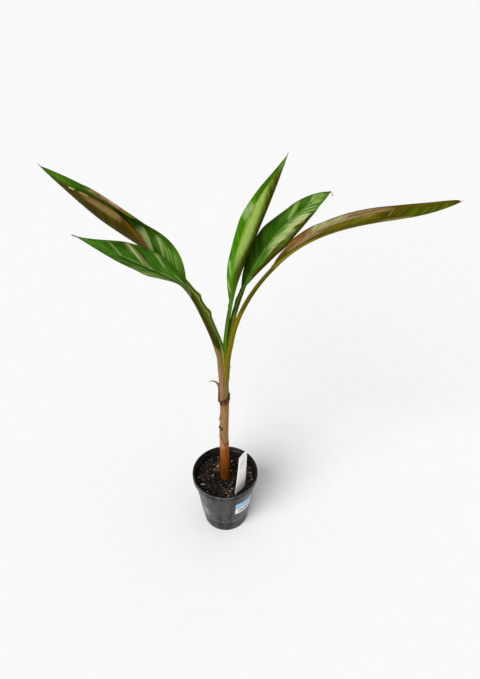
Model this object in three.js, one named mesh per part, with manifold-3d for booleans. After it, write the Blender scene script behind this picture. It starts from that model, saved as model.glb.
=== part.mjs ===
// A young banana plant in a round nursery pot: a hollow tapered pot with a rolled lip and drain
// holes, the potting mix in it, the sheathed stem, five leaves that fan out of its top, each a
// grooved petiole and a folded or rolled blade, a dried sheath curl and a plastic label.
// Millimetres, +Z up, origin at the centre of the pot's flat underside, +Y towards the back.
import * as THREE from 'three';
import { mergeVertices } from 'three/addons/utils/BufferGeometryUtils.js';
import Module from 'manifold-3d';

const wasm = await Module();
wasm.setup();

// ---- driving dimensions ----
const GAP = 0.3; // clearance between neighbouring solids
const POT_HEIGHT = 120;
const POT_LIP_RADIUS = 57;
const POT_LIP_HEIGHT = 10;
const POT_TOP_RADIUS = 53; // outside of the wall, just under the lip
const POT_BASE_RADIUS = 40.4; // the wall's taper carried down to the floor
const POT_WALL = 1.5;
const POT_FLOOR = 1.8;
const POT_STEP_HEIGHT = 30; // the wall is set in by POT_STEP below this ring
const POT_STEP = 1;
const POT_SIDES = 40;
const DRAIN_HOLES = 6;
const DRAIN_RADIUS = 4.5;
const DRAIN_CIRCLE = 27;
const MIX_HEIGHT = 105;
const MIX_ROUGHNESS = 1.2; // height of the uneven surface of the mix
const MIX_WAVE = 7; // how far apart its lumps lie, over 2 pi
const MIX_LEVEL_RADIUS = 14; // flat patch under the stem
const MIX_RINGS = [1, 0.82, 0.6]; // of its top, as shares of the radius
const FORK_HEIGHT = 372; // where the petioles leave the stem

// Half-widths and sideways drift of the stem at even steps from the mix to the fork.
const STEM_RADII = [8.6, 8.1, 7.4, 7.25, 7.1, 7.1, 7.0, 7.6, 10.3];
const STEM_DRIFT = [0, -0.1, -0.1, -0.2, 0.5, 1.7, 1.8, 1.8, 2.7];
const STEM_DEPTHS = [8.6, 8.1, 7.4, 7.25, 7.1, 7.1, 7.0, 7.3, 8.8];
const STEM_SET_BACK = [0, 0, 0, 0, 0, 0, 0, 0.3, 1.5];
const NODE_SCAR = { height: 291, bulge: 0.6, spread: 4 };

// One entry a leaf. start: where its midrib leaves the fork; heading, swing: compass angle of the
// midrib from +X towards +Y and how far it turns; climb: angle above the horizon at even steps
// along the leaf; girth: share of the usual petiole; broad, full: exponents of the blade's outline;
// twist, fold, curl: roll of the section, rise of each half from the midrib, and how much further
// each half bends by its margin, at even steps along the blade.
const LEAVES = {
  right: {
    start: [10.5, -1.5], heading: 1, swing: 18, climb: [90, 69, 46, 13, 1, 16],
    length: 441, petiole: 171, girth: 1, halfWidth: 18.4, broad: 1.07, full: 0.52,
    twist: [25, 16, 20], fold: [41, 62, 55], curlLeft: [33, 37, 50, 1], curlRight: [40, 1, 23, 37],
  },
  centre: {
    start: [3, 0.5], heading: 52, swing: -5, climb: [85, 79, 63, 53, 56, 60],
    length: 308, petiole: 90, girth: 0.82, halfWidth: 32, broad: 0.98, full: 1.17,
    twist: [-10, 9, 7], fold: [18, 18, 18], curlLeft: [47, -14, 1, 5], curlRight: [93, 133, 157, 115],
  },
  back: {
    start: [7, 6], heading: 39, swing: -7, climb: [83, 77, 61, 45, 26, 12],
    length: 301, petiole: 112, girth: 1.15, halfWidth: 22, broad: 1.1, full: 0.75,
    twist: [-1, -8, -10], fold: [26, 4, 10], curlLeft: [24, 27, -15, 11], curlRight: [8, -12, 4, 2],
  },
  upper_left: {
    start: [0.5, 5], heading: 163, swing: 0, climb: [81, 68, 47, 25, 39, 43],
    length: 375, petiole: 137, girth: 1.1, halfWidth: 36, broad: 0.83, full: 0.97,
    twist: [20, 18, -2], fold: [3, 40, 32], curlLeft: [-12, 78, 88, -14], curlRight: [23, 80, 60, 42],
  },
  lower_left: {
    start: [-3, -2.5], heading: 194, swing: -9, climb: [84, 73, 67, 34, 33, 27],
    length: 298, petiole: 130, girth: 1.05, halfWidth: 27, broad: 0.87, full: 1.29,
    twist: [-1, 6, 3], fold: [11, 18, 1], curlLeft: [44, 0, -10, -14], curlRight: [13, 8, 4, -19],
  },
};
const PETIOLE_WING = 3.5; // half-width of a blade where it runs down into its petiole
const PETIOLE_RADII = [3.9, 3.4, 3.0, 2.7]; // from the fork to the blade, times the leaf's girth
const PETIOLE_DEPTH = 1.05; // depth of a petiole as a share of its width
const BLADE_THICKNESS = 0.011; // share of the blade's length
const BLADE_TIP = 1.2; // half-width left at the tip

// The dry sheath that has come away from the stem and curls outwards.
const SHEATH = {
  start: [-7.1, -1, 284], heading: 180, swing: 0, climb: [88, 88, 87, 78, 50, -40],
  length: 57, halfWidth: 4.5, tip: 1.3, thickness: 1, wrap: 33,
};

// The label: foot is its left corner at the level of the mix, turn the compass angle of its face.
const LABEL = {
  foot: [17.5, -39], top: [25, -30, 191], turn: 49, footWidth: 26, topWidth: 19,
  thickness: 1, buried: 20, buriedWidth: 12, crown: 3, chamfer: 0.55,
};

const COLOURS = {
  pot: 0x2b2a29, potting_mix: 0x1d1713, pseudostem: 0x9c6b3c, petiole: 0x6e7a22,
  blade: 0x3f7a22, dried_sheath: 0x7a5a3c, plant_label: 0xd9d6d0,
};

// ---- curves ----
const radians = (degrees) => degrees * Math.PI / 180;

/** Smooth curve through evenly spaced stations; t runs from 0 at the first to 1 at the last. */
function along(stations, t) {
  const last = stations.length - 1;
  const x = Math.min(Math.max(t, 0), 1) * last;
  const i = Math.min(Math.floor(x), last - 1);
  const f = x - i;
  const slope = (k) => (stations[Math.min(k + 1, last)] - stations[Math.max(k - 1, 0)])
    / (Math.min(k + 1, last) - Math.max(k - 1, 0));
  return stations[i] * (1 + 2 * f) * (1 - f) ** 2 + stations[i + 1] * f * f * (3 - 2 * f)
    + slope(i) * f * (1 - f) ** 2 - slope(i + 1) * f * f * (1 - f);
}

/** Midrib of a leaf: frame(u) gives the point at the share u of the length and its directions. */
function midrib(leaf, start) {
  const steps = 60;
  const heading = (u) => radians(leaf.heading + leaf.swing * u);
  const climb = (u) => radians(along(leaf.climb, u));
  const direction = (u) => new THREE.Vector3(
    Math.cos(climb(u)) * Math.cos(heading(u)),
    Math.cos(climb(u)) * Math.sin(heading(u)),
    Math.sin(climb(u)),
  );
  const points = [new THREE.Vector3(...start)];
  for (let i = 0; i < steps; i += 1) {
    const step = direction((i + 0.5) / steps).multiplyScalar(leaf.length / steps);
    points.push(points[i].clone().add(step));
  }
  return (u, twist = 0) => {
    const i = Math.min(Math.floor(u * steps), steps - 1);
    const forward = direction(u);
    const level = new THREE.Vector3(Math.sin(heading(u)), -Math.cos(heading(u)), 0);
    const upward = level.clone().cross(forward);
    const side = level.clone().multiplyScalar(Math.cos(twist)).addScaledVector(upward, Math.sin(twist));
    return {
      point: points[i].clone().lerp(points[i + 1], u * steps - i),
      side,
      normal: side.clone().cross(forward),
    };
  };
}

/** Point of a section that leaves the midrib at the angle fold and bends by curl at its margin. */
function sectionPoint(frame, sign, width, fold, curl, q, offset) {
  const bend = Math.abs(curl) < 0.01 ? 0.01 : curl;
  const angle = fold + bend * q;
  const across = width * (Math.sin(angle) - Math.sin(fold)) / bend;
  const rise = width * (Math.cos(fold) - Math.cos(angle)) / bend;
  const lean = q === 0 ? 0 : angle;
  return frame.point.clone()
    .addScaledVector(frame.side, sign * (across - offset * Math.sin(lean)))
    .addScaledVector(frame.normal, rise + offset * Math.cos(lean));
}

// ---- solids ----
/** Closed skin over rings of as many points each; point i of a ring faces point last - i. */
function loft(rings) {
  const size = rings[0].length;
  const corners = [];
  const face = (a, b, c, d) => corners.push(a, b, c, a, c, d);
  for (let r = 0; r < rings.length - 1; r += 1) {
    for (let i = 0; i < size; i += 1) {
      const j = (i + 1) % size;
      face(r * size + i, r * size + j, (r + 1) * size + j, (r + 1) * size + i);
    }
  }
  const top = (rings.length - 1) * size;
  for (let i = 0; i < size / 2 - 1; i += 1) {
    face(size - 1 - i, size - 2 - i, i + 1, i);
    face(top + i, top + i + 1, top + size - 2 - i, top + size - 1 - i);
  }
  const geometry = new THREE.BufferGeometry();
  const numbers = rings.flat().flatMap((p) => [p.x, p.y, p.z]);
  geometry.setAttribute('position', new THREE.Float32BufferAttribute(numbers, 3));
  geometry.setIndex(corners);
  return geometry;
}

/** Manifold solid of a closed geometry, turned so that its faces point out. */
function solidOf(geometry) {
  const bare = geometry.clone();
  bare.deleteAttribute('normal');
  bare.deleteAttribute('uv');
  const merged = mergeVertices(bare, 1e-4);
  const at = merged.getAttribute('position');
  const index = Array.from(merged.getIndex().array);
  const triangles = [];
  let volume = 0;
  const [a, b, c] = [new THREE.Vector3(), new THREE.Vector3(), new THREE.Vector3()];
  for (let i = 0; i < index.length; i += 3) {
    const corner = index.slice(i, i + 3);
    if (new Set(corner).size === 3) {
      triangles.push(...corner);
      volume += a.fromBufferAttribute(at, corner[0])
        .dot(b.fromBufferAttribute(at, corner[1]).cross(c.fromBufferAttribute(at, corner[2])));
    }
  }
  if (volume < 0) triangles.reverse();
  return new wasm.Manifold(new wasm.Mesh({
    numProp: 3, vertProperties: Float32Array.from(at.array), triVerts: Uint32Array.from(triangles),
  }));
}

/** Mesh of a solid. Slivers that a cut leaves loose are dropped. */
function meshOf(name, solid, colour, roughness) {
  const body = solid.decompose().sort((a, b) => b.volume() - a.volume())[0];
  const { vertProperties, triVerts } = body.getMesh();
  const geometry = new THREE.BufferGeometry();
  geometry.setAttribute('position', new THREE.BufferAttribute(vertProperties, 3));
  geometry.setIndex(new THREE.BufferAttribute(triVerts, 1));
  geometry.computeVertexNormals();
  const finish = new THREE.MeshStandardMaterial({ color: colour, roughness, metalness: 0 });
  const mesh = new THREE.Mesh(geometry, finish);
  mesh.name = name;
  return mesh;
}

/** Ring of points on an ellipse. */
function ellipseRing(centre, side, depth, width, height, count) {
  return Array.from({ length: count }, (_, i) => {
    const angle = 2 * Math.PI * (i + 0.5) / count;
    return centre.clone()
      .addScaledVector(side, width * Math.cos(angle))
      .addScaledVector(depth, height * Math.sin(angle));
  });
}

/** Solid of revolution about Z from [radius, height] pairs that start and end on the axis. */
function revolved(profile) {
  const outline = profile.map(([r, z]) => new THREE.Vector2(r, z));
  return new THREE.LatheGeometry(outline, POT_SIDES).rotateX(Math.PI / 2);
}

// ---- pot ----
const potTaper = (POT_TOP_RADIUS - POT_BASE_RADIUS) / (POT_HEIGHT - POT_LIP_HEIGHT);
const potRadius = (z) => POT_BASE_RADIUS + potTaper * z;

function potSolid() {
  const lipFoot = POT_HEIGHT - POT_LIP_HEIGHT;
  const edge = 1; // rounding of the lip and of the foot
  const body = solidOf(revolved([
    [0, 0],
    [potRadius(0) - POT_STEP - edge, 0],
    [potRadius(edge) - POT_STEP, edge],
    [potRadius(POT_STEP_HEIGHT) - POT_STEP, POT_STEP_HEIGHT - edge],
    [potRadius(POT_STEP_HEIGHT), POT_STEP_HEIGHT],
    [POT_TOP_RADIUS, lipFoot],
    [POT_LIP_RADIUS - edge, lipFoot],
    [POT_LIP_RADIUS, lipFoot + edge],
    [POT_LIP_RADIUS, POT_HEIGHT - edge],
    [POT_LIP_RADIUS - edge, POT_HEIGHT],
    [potRadius(POT_HEIGHT) - POT_WALL + edge, POT_HEIGHT],
    [potRadius(POT_HEIGHT) - POT_WALL, POT_HEIGHT - edge],
    [potRadius(POT_STEP_HEIGHT) - POT_WALL - POT_STEP, POT_STEP_HEIGHT],
    [potRadius(POT_FLOOR) - POT_WALL - POT_STEP, POT_FLOOR],
    [0, POT_FLOOR],
  ]));
  let drained = body;
  for (let i = 0; i < DRAIN_HOLES; i += 1) {
    const angle = 2 * Math.PI * (i + 0.5) / DRAIN_HOLES;
    const hole = new THREE.CylinderGeometry(DRAIN_RADIUS, DRAIN_RADIUS, 4 * POT_FLOOR, 12);
    hole.rotateX(Math.PI / 2).translate(DRAIN_CIRCLE * Math.cos(angle), DRAIN_CIRCLE * Math.sin(angle), 0);
    drained = drained.subtract(solidOf(hole));
  }
  return drained;
}

// ---- potting mix ----
function mixSolid(labelRoom) {
  const inset = POT_WALL + GAP;
  const rim = potRadius(MIX_HEIGHT) - inset;
  const geometry = revolved([
    [0, POT_FLOOR + GAP],
    [potRadius(POT_FLOOR) - inset - POT_STEP, POT_FLOOR + GAP],
    [potRadius(POT_STEP_HEIGHT) - inset - POT_STEP, POT_STEP_HEIGHT],
    ...MIX_RINGS.map((share) => [rim * share, MIX_HEIGHT]),
    [MIX_LEVEL_RADIUS, MIX_HEIGHT],
    [0, MIX_HEIGHT],
  ]);
  const at = geometry.getAttribute('position');
  for (let i = 0; i < at.count; i += 1) {
    const radius = Math.hypot(at.getX(i), at.getY(i));
    if (at.getZ(i) > MIX_HEIGHT - 1e-3 && radius > MIX_LEVEL_RADIUS + 1 && radius < rim - 1) {
      const angle = Math.atan2(at.getY(i), at.getX(i));
      const lump = Math.sin(3 * angle + radius / MIX_WAVE) * Math.cos(2 * angle + 1);
      at.setZ(i, MIX_HEIGHT + MIX_ROUGHNESS * lump);
    }
  }
  return solidOf(geometry).subtract(labelRoom);
}

// ---- stem ----
function stemSolid() {
  const rows = 26;
  const foot = MIX_HEIGHT + GAP;
  const rings = [];
  for (let r = 0; r <= rows; r += 1) {
    const t = r / rows;
    const height = foot + (FORK_HEIGHT - foot) * t;
    const swell = NODE_SCAR.bulge * Math.exp(-(((height - NODE_SCAR.height) / NODE_SCAR.spread) ** 2));
    const centre = new THREE.Vector3(along(STEM_DRIFT, t), along(STEM_SET_BACK, t), height);
    rings.push(ellipseRing(
      centre, new THREE.Vector3(1, 0, 0), new THREE.Vector3(0, 1, 0),
      along(STEM_RADII, t) + swell, along(STEM_DEPTHS, t) + swell, 16,
    ));
  }
  return solidOf(loft(rings));
}

// ---- leaves ----
const bladeStart = (leaf) => leaf.petiole / leaf.length;

function petioleSolid(leaf, swell) {
  const rows = 12;
  const floor = FORK_HEIGHT + GAP - 3 * swell;
  const frameAt = midrib(leaf, [...leaf.start, FORK_HEIGHT + GAP]);
  const end = bladeStart(leaf) - GAP / leaf.length;
  const rings = [];
  for (let r = 0; r <= rows; r += 1) {
    const t = r / rows;
    const frame = frameAt(end * t, radians(leaf.twist[0]) * t);
    const radius = along(PETIOLE_RADII, t) * leaf.girth + swell;
    const ring = ellipseRing(frame.point, frame.side, frame.normal, radius, radius * PETIOLE_DEPTH, 10);
    rings.push(r === 0 ? ring.map((p) => new THREE.Vector3(p.x, p.y, floor)) : ring);
  }
  return solidOf(loft(rings));
}

function bladeSolid(leaf) {
  const rows = 16;
  const halves = 5; // facets from the midrib to a margin
  const frameAt = midrib(leaf, [...leaf.start, FORK_HEIGHT + GAP]);
  const thickness = (leaf.length - leaf.petiole) * BLADE_THICKNESS;
  const rings = [];
  for (let r = 0; r <= rows; r += 1) {
    const v = r / rows;
    const u = bladeStart(leaf) + (1 - bladeStart(leaf)) * v;
    const frame = frameAt(u, radians(along(leaf.twist, u)));
    const shape = Math.max(Math.sin(Math.PI * v ** leaf.broad), 0) ** leaf.full;
    const width = Math.max(leaf.halfWidth * shape, PETIOLE_WING * (1 - v) ** 3, BLADE_TIP);
    const fold = radians(along(leaf.fold, v));
    const row = (offset) => {
      const points = [];
      for (let k = -halves; k <= halves; k += 1) {
        const curl = radians(along(k < 0 ? leaf.curlLeft : leaf.curlRight, v));
        points.push(sectionPoint(frame, Math.sign(k), width, fold, curl, Math.abs(k) / halves, offset));
      }
      return points;
    };
    const inner = Math.min(thickness / 4, width / 12); // little of it lies inside the fold
    rings.push([...row(inner - thickness), ...row(inner).reverse()]);
  }
  return solidOf(loft(rings));
}

// ---- dried sheath ----
function sheathSolid() {
  const rows = 12;
  const frameAt = midrib(SHEATH, SHEATH.start);
  const rings = [];
  for (let r = 0; r <= rows; r += 1) {
    const t = r / rows;
    const width = SHEATH.halfWidth + (SHEATH.tip - SHEATH.halfWidth) * t;
    const row = (offset) => [-2, -1, 0, 1, 2].map((k) => sectionPoint(
      frameAt(t), Math.sign(k), width, 0, radians(SHEATH.wrap), Math.abs(k) / 2, offset,
    ));
    rings.push([...row(-SHEATH.thickness / 2), ...row(SHEATH.thickness / 2).reverse()]);
  }
  return solidOf(loft(rings));
}

// ---- label ----
function labelSolid(swell) {
  const across = new THREE.Vector3(Math.cos(radians(LABEL.turn)), Math.sin(radians(LABEL.turn)), 0);
  const foot = new THREE.Vector3(...LABEL.foot, MIX_HEIGHT);
  const top = new THREE.Vector3(...LABEL.top);
  const lean = top.clone().sub(foot).normalize();
  const outward = across.clone().cross(lean).normalize();
  const edgeRing = (corner, width) => [[0, -1], [1, -1], [1, 1], [0, 1]].map(([x, y]) => corner.clone()
    .addScaledVector(across, width * x + swell * (2 * x - 1))
    .addScaledVector(outward, y * (LABEL.thickness / 2 + swell)));
  const crown = LABEL.chamfer * LABEL.topWidth;
  return solidOf(loft([
    edgeRing(
      foot.clone().addScaledVector(lean, -LABEL.buried - swell)
        .addScaledVector(across, (LABEL.footWidth - LABEL.buriedWidth) / 2),
      LABEL.buriedWidth,
    ),
    edgeRing(foot, LABEL.footWidth),
    edgeRing(top, LABEL.topWidth),
    edgeRing(
      top.clone().addScaledVector(across, crown).addScaledVector(lean, LABEL.crown),
      LABEL.topWidth - crown,
    ),
  ]));
}

// ---- plant ----
const plant = new THREE.Group();
plant.add(meshOf('pot', potSolid(), COLOURS.pot, 0.5));
plant.add(meshOf('potting_mix', mixSolid(labelSolid(GAP)), COLOURS.potting_mix, 0.95));
plant.add(meshOf('pseudostem', stemSolid(), COLOURS.pseudostem, 0.6));

const placed = [];
for (const name of ['centre', 'right', 'lower_left', 'back', 'upper_left']) {
  const leaf = LEAVES[name];
  const petiole = placed.reduce((body, room) => body.subtract(room), petioleSolid(leaf, 0));
  placed.push(petioleSolid(leaf, 1.5 * GAP));
  plant.add(meshOf(`petiole_${name}`, petiole, COLOURS.petiole, 0.5));
  plant.add(meshOf(`blade_${name}`, bladeSolid(leaf), COLOURS.blade, 0.5));
}

plant.add(meshOf('dried_sheath', sheathSolid(), COLOURS.dried_sheath, 0.8));
plant.add(meshOf('plant_label', labelSolid(0), COLOURS.plant_label, 0.4));

export default plant;
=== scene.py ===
"""A young banana plant in a black nursery pot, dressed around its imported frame.

Metres, +Z up, the pot's flat underside on the floor at the origin, +Y towards the back. Named
lengths are in millimetres and are scaled once, where a mesh is made.
"""

import bpy
import numpy as np
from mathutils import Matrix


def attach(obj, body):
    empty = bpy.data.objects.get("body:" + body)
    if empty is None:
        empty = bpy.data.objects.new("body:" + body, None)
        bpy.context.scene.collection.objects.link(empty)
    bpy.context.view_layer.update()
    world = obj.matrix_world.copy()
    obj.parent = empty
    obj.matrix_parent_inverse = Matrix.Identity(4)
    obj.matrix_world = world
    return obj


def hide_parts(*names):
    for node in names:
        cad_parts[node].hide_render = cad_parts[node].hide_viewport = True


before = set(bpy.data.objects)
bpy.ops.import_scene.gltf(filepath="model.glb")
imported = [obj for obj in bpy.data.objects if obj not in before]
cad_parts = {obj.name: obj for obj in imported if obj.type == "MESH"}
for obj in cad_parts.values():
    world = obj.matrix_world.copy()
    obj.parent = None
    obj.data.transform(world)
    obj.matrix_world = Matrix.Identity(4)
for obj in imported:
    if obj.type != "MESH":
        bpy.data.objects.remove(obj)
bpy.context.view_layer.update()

# ---------------------------------------------------------------------------------------------
# Studio: a pale seamless floor that runs past the view, one broad key light from the left, a
# wide overhead fill and a white room, as for a nursery's catalogue picture.
MM = 0.001
FLOOR_REACH = 60.0
CAMERA_AT = (0.026, -0.629, 0.916)
CAMERA_PITCH = 51.4  # degrees up from straight down
CAMERA_LENS = 30.0
ROOM_LIGHT = 0.3
KEY = {"strength": 2.75, "spread": 44, "tilt": (38, -36, 0)}
FILL = {"strength": 0.5, "spread": 100, "tilt": (8, 20, 0)}


def linear(code):
    """sRGB hex to linear: c / 12.92 for a channel up to 0.04045, else ((c + 0.055) / 1.055) ^ 2.4."""
    srgb = np.array([int(code[i:i + 2], 16) for i in (1, 3, 5)]) / 255
    low, high = srgb / 12.92, ((srgb + 0.055) / 1.055) ** 2.4
    return (*np.where(srgb <= 0.04045, low, high).tolist(), 1.0)


def add(tree, kind, inputs=None, **settings):
    """Adds a node: settings are its own properties, inputs a value or a source socket each."""
    made = tree.nodes.new("ShaderNode" + kind)
    for key, value in settings.items():
        setattr(made, key, value)
    for key, value in (inputs or {}).items():
        if isinstance(value, bpy.types.NodeSocket):
            tree.links.new(value, made.inputs[key])
        else:
            made.inputs[key].default_value = value
    return made


def surface_of(name):
    """A new material's tree and its Principled shader, already joined to the output."""
    material = bpy.data.materials.new(name)
    material.use_nodes = True
    tree = material.node_tree
    tree.nodes.clear()
    shader = add(tree, "BsdfPrincipled")
    add(tree, "OutputMaterial", {"Surface": shader.outputs[0]})
    return material, tree, shader


def place(name, data):
    """An object at the origin that holds this mesh, lamp or camera."""
    thing = bpy.data.objects.new(name, data)
    bpy.context.scene.collection.objects.link(thing)
    return thing


# Matt white painted floor: even, with the faintest grain so that it isn't a flat number.
floor_paint, tree, shader = surface_of("floor_matt_paint")
where = add(tree, "TexCoord").outputs["Object"]
grain = add(tree, "TexNoise", {"Vector": where, "Scale": 40.0, "Detail": 2.0}).outputs[0]
pale = add(tree, "Mix", {0: grain, 6: linear("#f8f8f7"), 7: linear("#fdfdfc")}, data_type="RGBA")
tree.links.new(pale.outputs[2], shader.inputs["Base Color"])
shader.inputs["Roughness"].default_value = 0.9
shader.inputs["Specular IOR Level"].default_value = 0.1
floor_mesh = bpy.data.meshes.new("floor")
corners = np.array([(-1, -1, 0), (1, -1, 0), (1, 1, 0), (-1, 1, 0)]) * FLOOR_REACH
floor_mesh.from_pydata(corners.tolist(), [], [(0, 1, 2, 3)])
floor_mesh.materials.append(floor_paint)
place("floor", floor_mesh)

for title, lamp in (("key_light", KEY), ("fill_light", FILL)):
    sun = bpy.data.lights.new(title, "SUN")
    sun.energy, sun.angle = lamp["strength"], np.radians(lamp["spread"])
    place(title, sun).rotation_euler = np.radians(lamp["tilt"])

room = bpy.data.worlds.new("white_room")
bpy.context.scene.world = room
room.use_nodes = True
room.node_tree.nodes["Background"].inputs["Color"].default_value = linear("#fbfcff")
room.node_tree.nodes["Background"].inputs["Strength"].default_value = ROOM_LIGHT
bpy.context.scene.view_settings.view_transform = "Standard"

lens = bpy.data.cameras.new("camera")
lens.lens, lens.sensor_width, lens.clip_end = CAMERA_LENS, 36.0, 200.0
camera = place("camera", lens)
camera.location = CAMERA_AT
camera.rotation_euler = (np.radians(CAMERA_PITCH), 0, 0)
bpy.context.scene.camera = camera

# ---------------------------------------------------------------------------------------------
# Pot: a one-litre nursery pot, injection moulded in black polypropylene about 1.5 mm thick, with
# a rolled lip that nests on the next pot, a step low on its wall and six drain holes in its floor.
POT_HEIGHT, POT_LIP_RADIUS, POT_LIP_HEIGHT = 120.0, 57.0, 10.0
POT_TOP_RADIUS, POT_BASE_RADIUS = 53.0, 40.4
POT_WALL, POT_FLOOR, POT_LEDGE = 1.5, 1.8, 0.6  # the ledge is what is left above it of the wall
POT_STEP_HEIGHT, POT_STEP = 30.0, 1.0
POT_SHELF = 5.0  # how far above the lip's foot the shelf inside lies, on which the next pot rests
DRAIN_HOLES, DRAIN_RADIUS, DRAIN_CIRCLE, DRAIN_SIDES = 6, 4.5, 27.0, 32
POT_SIDES, ARC_STEPS = 180, 6
POLE = 0.4  # radius of the small ring that closes a turned piece at its middle
SEAM_ANGLE, SEAM_WIDTH, SEAM_RISE = -3.0, 0.8, 0.25  # mould seam, degrees from the front
RUBBED_AT, RUBBED_REACH, RUBBED_CORE = (-35.2, -30.2, 52.0), 18.0, 3.0  # patch rubbed pale, and its radii


def wall_radius(height):
    """Outside of the pot's wall: a straight taper from its foot to just under the lip."""
    return POT_BASE_RADIUS + (POT_TOP_RADIUS - POT_BASE_RADIUS) * height / (POT_HEIGHT - POT_LIP_HEIGHT)


def rounded(profile, radii):
    """Polyline whose corner i is replaced by the quadratic arc that starts and ends radii[i] away."""
    points = []
    for i, corner in enumerate(np.asarray(profile, float)):
        if radii[i] == 0:
            points.append(corner)
            continue
        before, after = profile[i - 1] - corner, profile[(i + 1) % len(profile)] - corner
        start = corner + before * min(radii[i] / np.linalg.norm(before), 0.49)
        end = corner + after * min(radii[i] / np.linalg.norm(after), 0.49)
        for t in np.linspace(0, 1, ARC_STEPS):
            points.append(start * (1 - t) ** 2 + corner * 2 * t * (1 - t) + end * t ** 2)
    return np.array(points)


def skin(name, rings, material, replaced=(), masks=None, uv=None):
    """Closed mesh over an array of rings (rows, points, 3) in mm, ridden on the plant's one body.

    Quads join each ring to the next. Both end rings are closed by quads between their points i
    and last - i. The faces are turned out by the sign of the volume, sum of p0 . (p1 x p2) / 6.
    masks are numbers at the points, and uv their places on the piece's own map.
    """
    rows, points = rings.shape[:2]
    row, step = np.meshgrid(np.arange(rows - 1), np.arange(points), indexing="ij")
    following = (step + 1) % points
    quads = np.stack([
        row * points + step, row * points + following,
        (row + 1) * points + following, (row + 1) * points + step,
    ], -1).reshape(-1, 4)
    near = np.arange(points // 2 - 1)
    cap = np.stack([points - 1 - near, points - 2 - near, near + 1, near], -1)
    quads = np.concatenate([quads, cap, cap[:, ::-1] + (rows - 1) * points])
    at = rings.reshape(-1, 3) * MM
    a, b, c, d = (at[quads[:, k]] for k in range(4))
    if (np.cross(b, c) * a).sum() + (np.cross(c, d) * a).sum() < 0:
        quads = quads[:, ::-1]
    mesh = bpy.data.meshes.new(name)
    mesh.from_pydata(at, [], quads.tolist())
    mesh.materials.append(material)
    mesh.polygons.foreach_set("use_smooth", np.ones(len(mesh.polygons), bool))
    for title, values in (masks or {}).items():
        layer = mesh.attributes.new(title, "FLOAT", "POINT")
        layer.data.foreach_set("value", np.broadcast_to(values, (rows, points)).astype(np.float32).ravel())
    if uv is not None:
        corner = np.zeros(len(mesh.loops), np.int32)
        mesh.loops.foreach_get("vertex_index", corner)
        layer = mesh.uv_layers.new(name="UVMap")
        layer.data.foreach_set("uv", uv.reshape(-1, 2)[corner].astype(np.float32).ravel())
    piece = place(name, mesh)
    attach(piece, "root")
    if replaced:
        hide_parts(*replaced)
    return piece


def turned(profile, sides):
    """Rings of a surface of revolution: (r sin a, -r cos a, z), the angle a from the front."""
    angle = np.linspace(0, 2 * np.pi, sides, endpoint=False)
    r, z = profile[:, :1], profile[:, 1:]
    return np.stack([r * np.sin(angle), -r * np.cos(angle), z + 0 * angle], -1)


# Black moulded polypropylene: a broad soft sheen over near-black, dusty from handling, with fine
# upright drag lines that the mould leaves and broad upright columns of painted sheen, glossier and
# duller by turns. A thin grey line of painted highlight runs along the lip's shoulder and along
# the step low on the wall, and a patch on the left has been rubbed pale.
pot_plastic, tree, shader = surface_of("moulded_polypropylene_black")
where = add(tree, "TexCoord").outputs["Object"]
drag = add(tree, "Mapping", {"Vector": where, "Scale": (1.0, 1.0, 0.04)})
lines = add(tree, "TexNoise", {"Vector": drag.outputs[0], "Scale": 420.0, "Detail": 3.0}).outputs[0]
dust = add(tree, "TexNoise", {"Vector": where, "Scale": 55.0, "Detail": 6.0, "Roughness": 0.65}).outputs[0]
dusty = add(tree, "MapRange", {0: dust, 1: 0.45, 2: 0.8, 3: 0.0, 4: 0.25}).outputs[0]
# Painted sheen: broad upright columns, lighter and darker down the wall; drawn joins them to the drag lines.
sheen_bands = add(tree, "TexNoise", {"Vector": drag.outputs[0], "Scale": 70.0, "Detail": 2.0}).outputs[0]
drawn = add(tree, "Math", {0: lines, 1: sheen_bands}, operation="ADD").outputs[0]
drawn = add(tree, "MapRange", {0: drawn, 1: 0.8, 2: 1.2, 3: 0.0, 4: 1.0}).outputs[0]
black = add(tree, "Mix", {0: drawn, 6: linear("#080807"), 7: linear("#201f1c")}, data_type="RGBA")
greyed = add(tree, "Mix", {0: dusty, 6: black.outputs[2], 7: linear("#46423d")}, data_type="RGBA")
rubbed_at = [value * MM for value in RUBBED_AT]
away = add(tree, "VectorMath", {0: where, 1: rubbed_at}, operation="SUBTRACT").outputs[0]
near = add(tree, "VectorMath", {0: away}, operation="LENGTH").outputs["Value"]
rub_reach, rub_core = RUBBED_REACH * MM, RUBBED_CORE * MM
rubbed = add(tree, "MapRange", {0: near, 1: rub_reach, 2: rub_core, 3: 0.0, 4: 1.0}).outputs[0]
scrapes = add(tree, "TexNoise", {"Vector": where, "Scale": 300.0, "Detail": 5.0}).outputs[0]
scraped = add(tree, "MapRange", {0: scrapes, 1: 0.4, 2: 0.62, 3: 0.1, 4: 1.0}).outputs[0]
broken = add(tree, "Math", {0: rubbed, 1: scraped}, operation="MULTIPLY").outputs[0]
scuffed = add(tree, "Mix", {0: broken, 6: greyed.outputs[2], 7: linear("#8e908f")}, data_type="RGBA")
apart = add(tree, "SeparateXYZ", {0: where})
level = add(tree, "VectorMath", {0: where, 1: (1.0, 1.0, 0.0)}, operation="MULTIPLY").outputs[0]
radial = add(tree, "VectorMath", {0: level}, operation="LENGTH").outputs["Value"]
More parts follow.
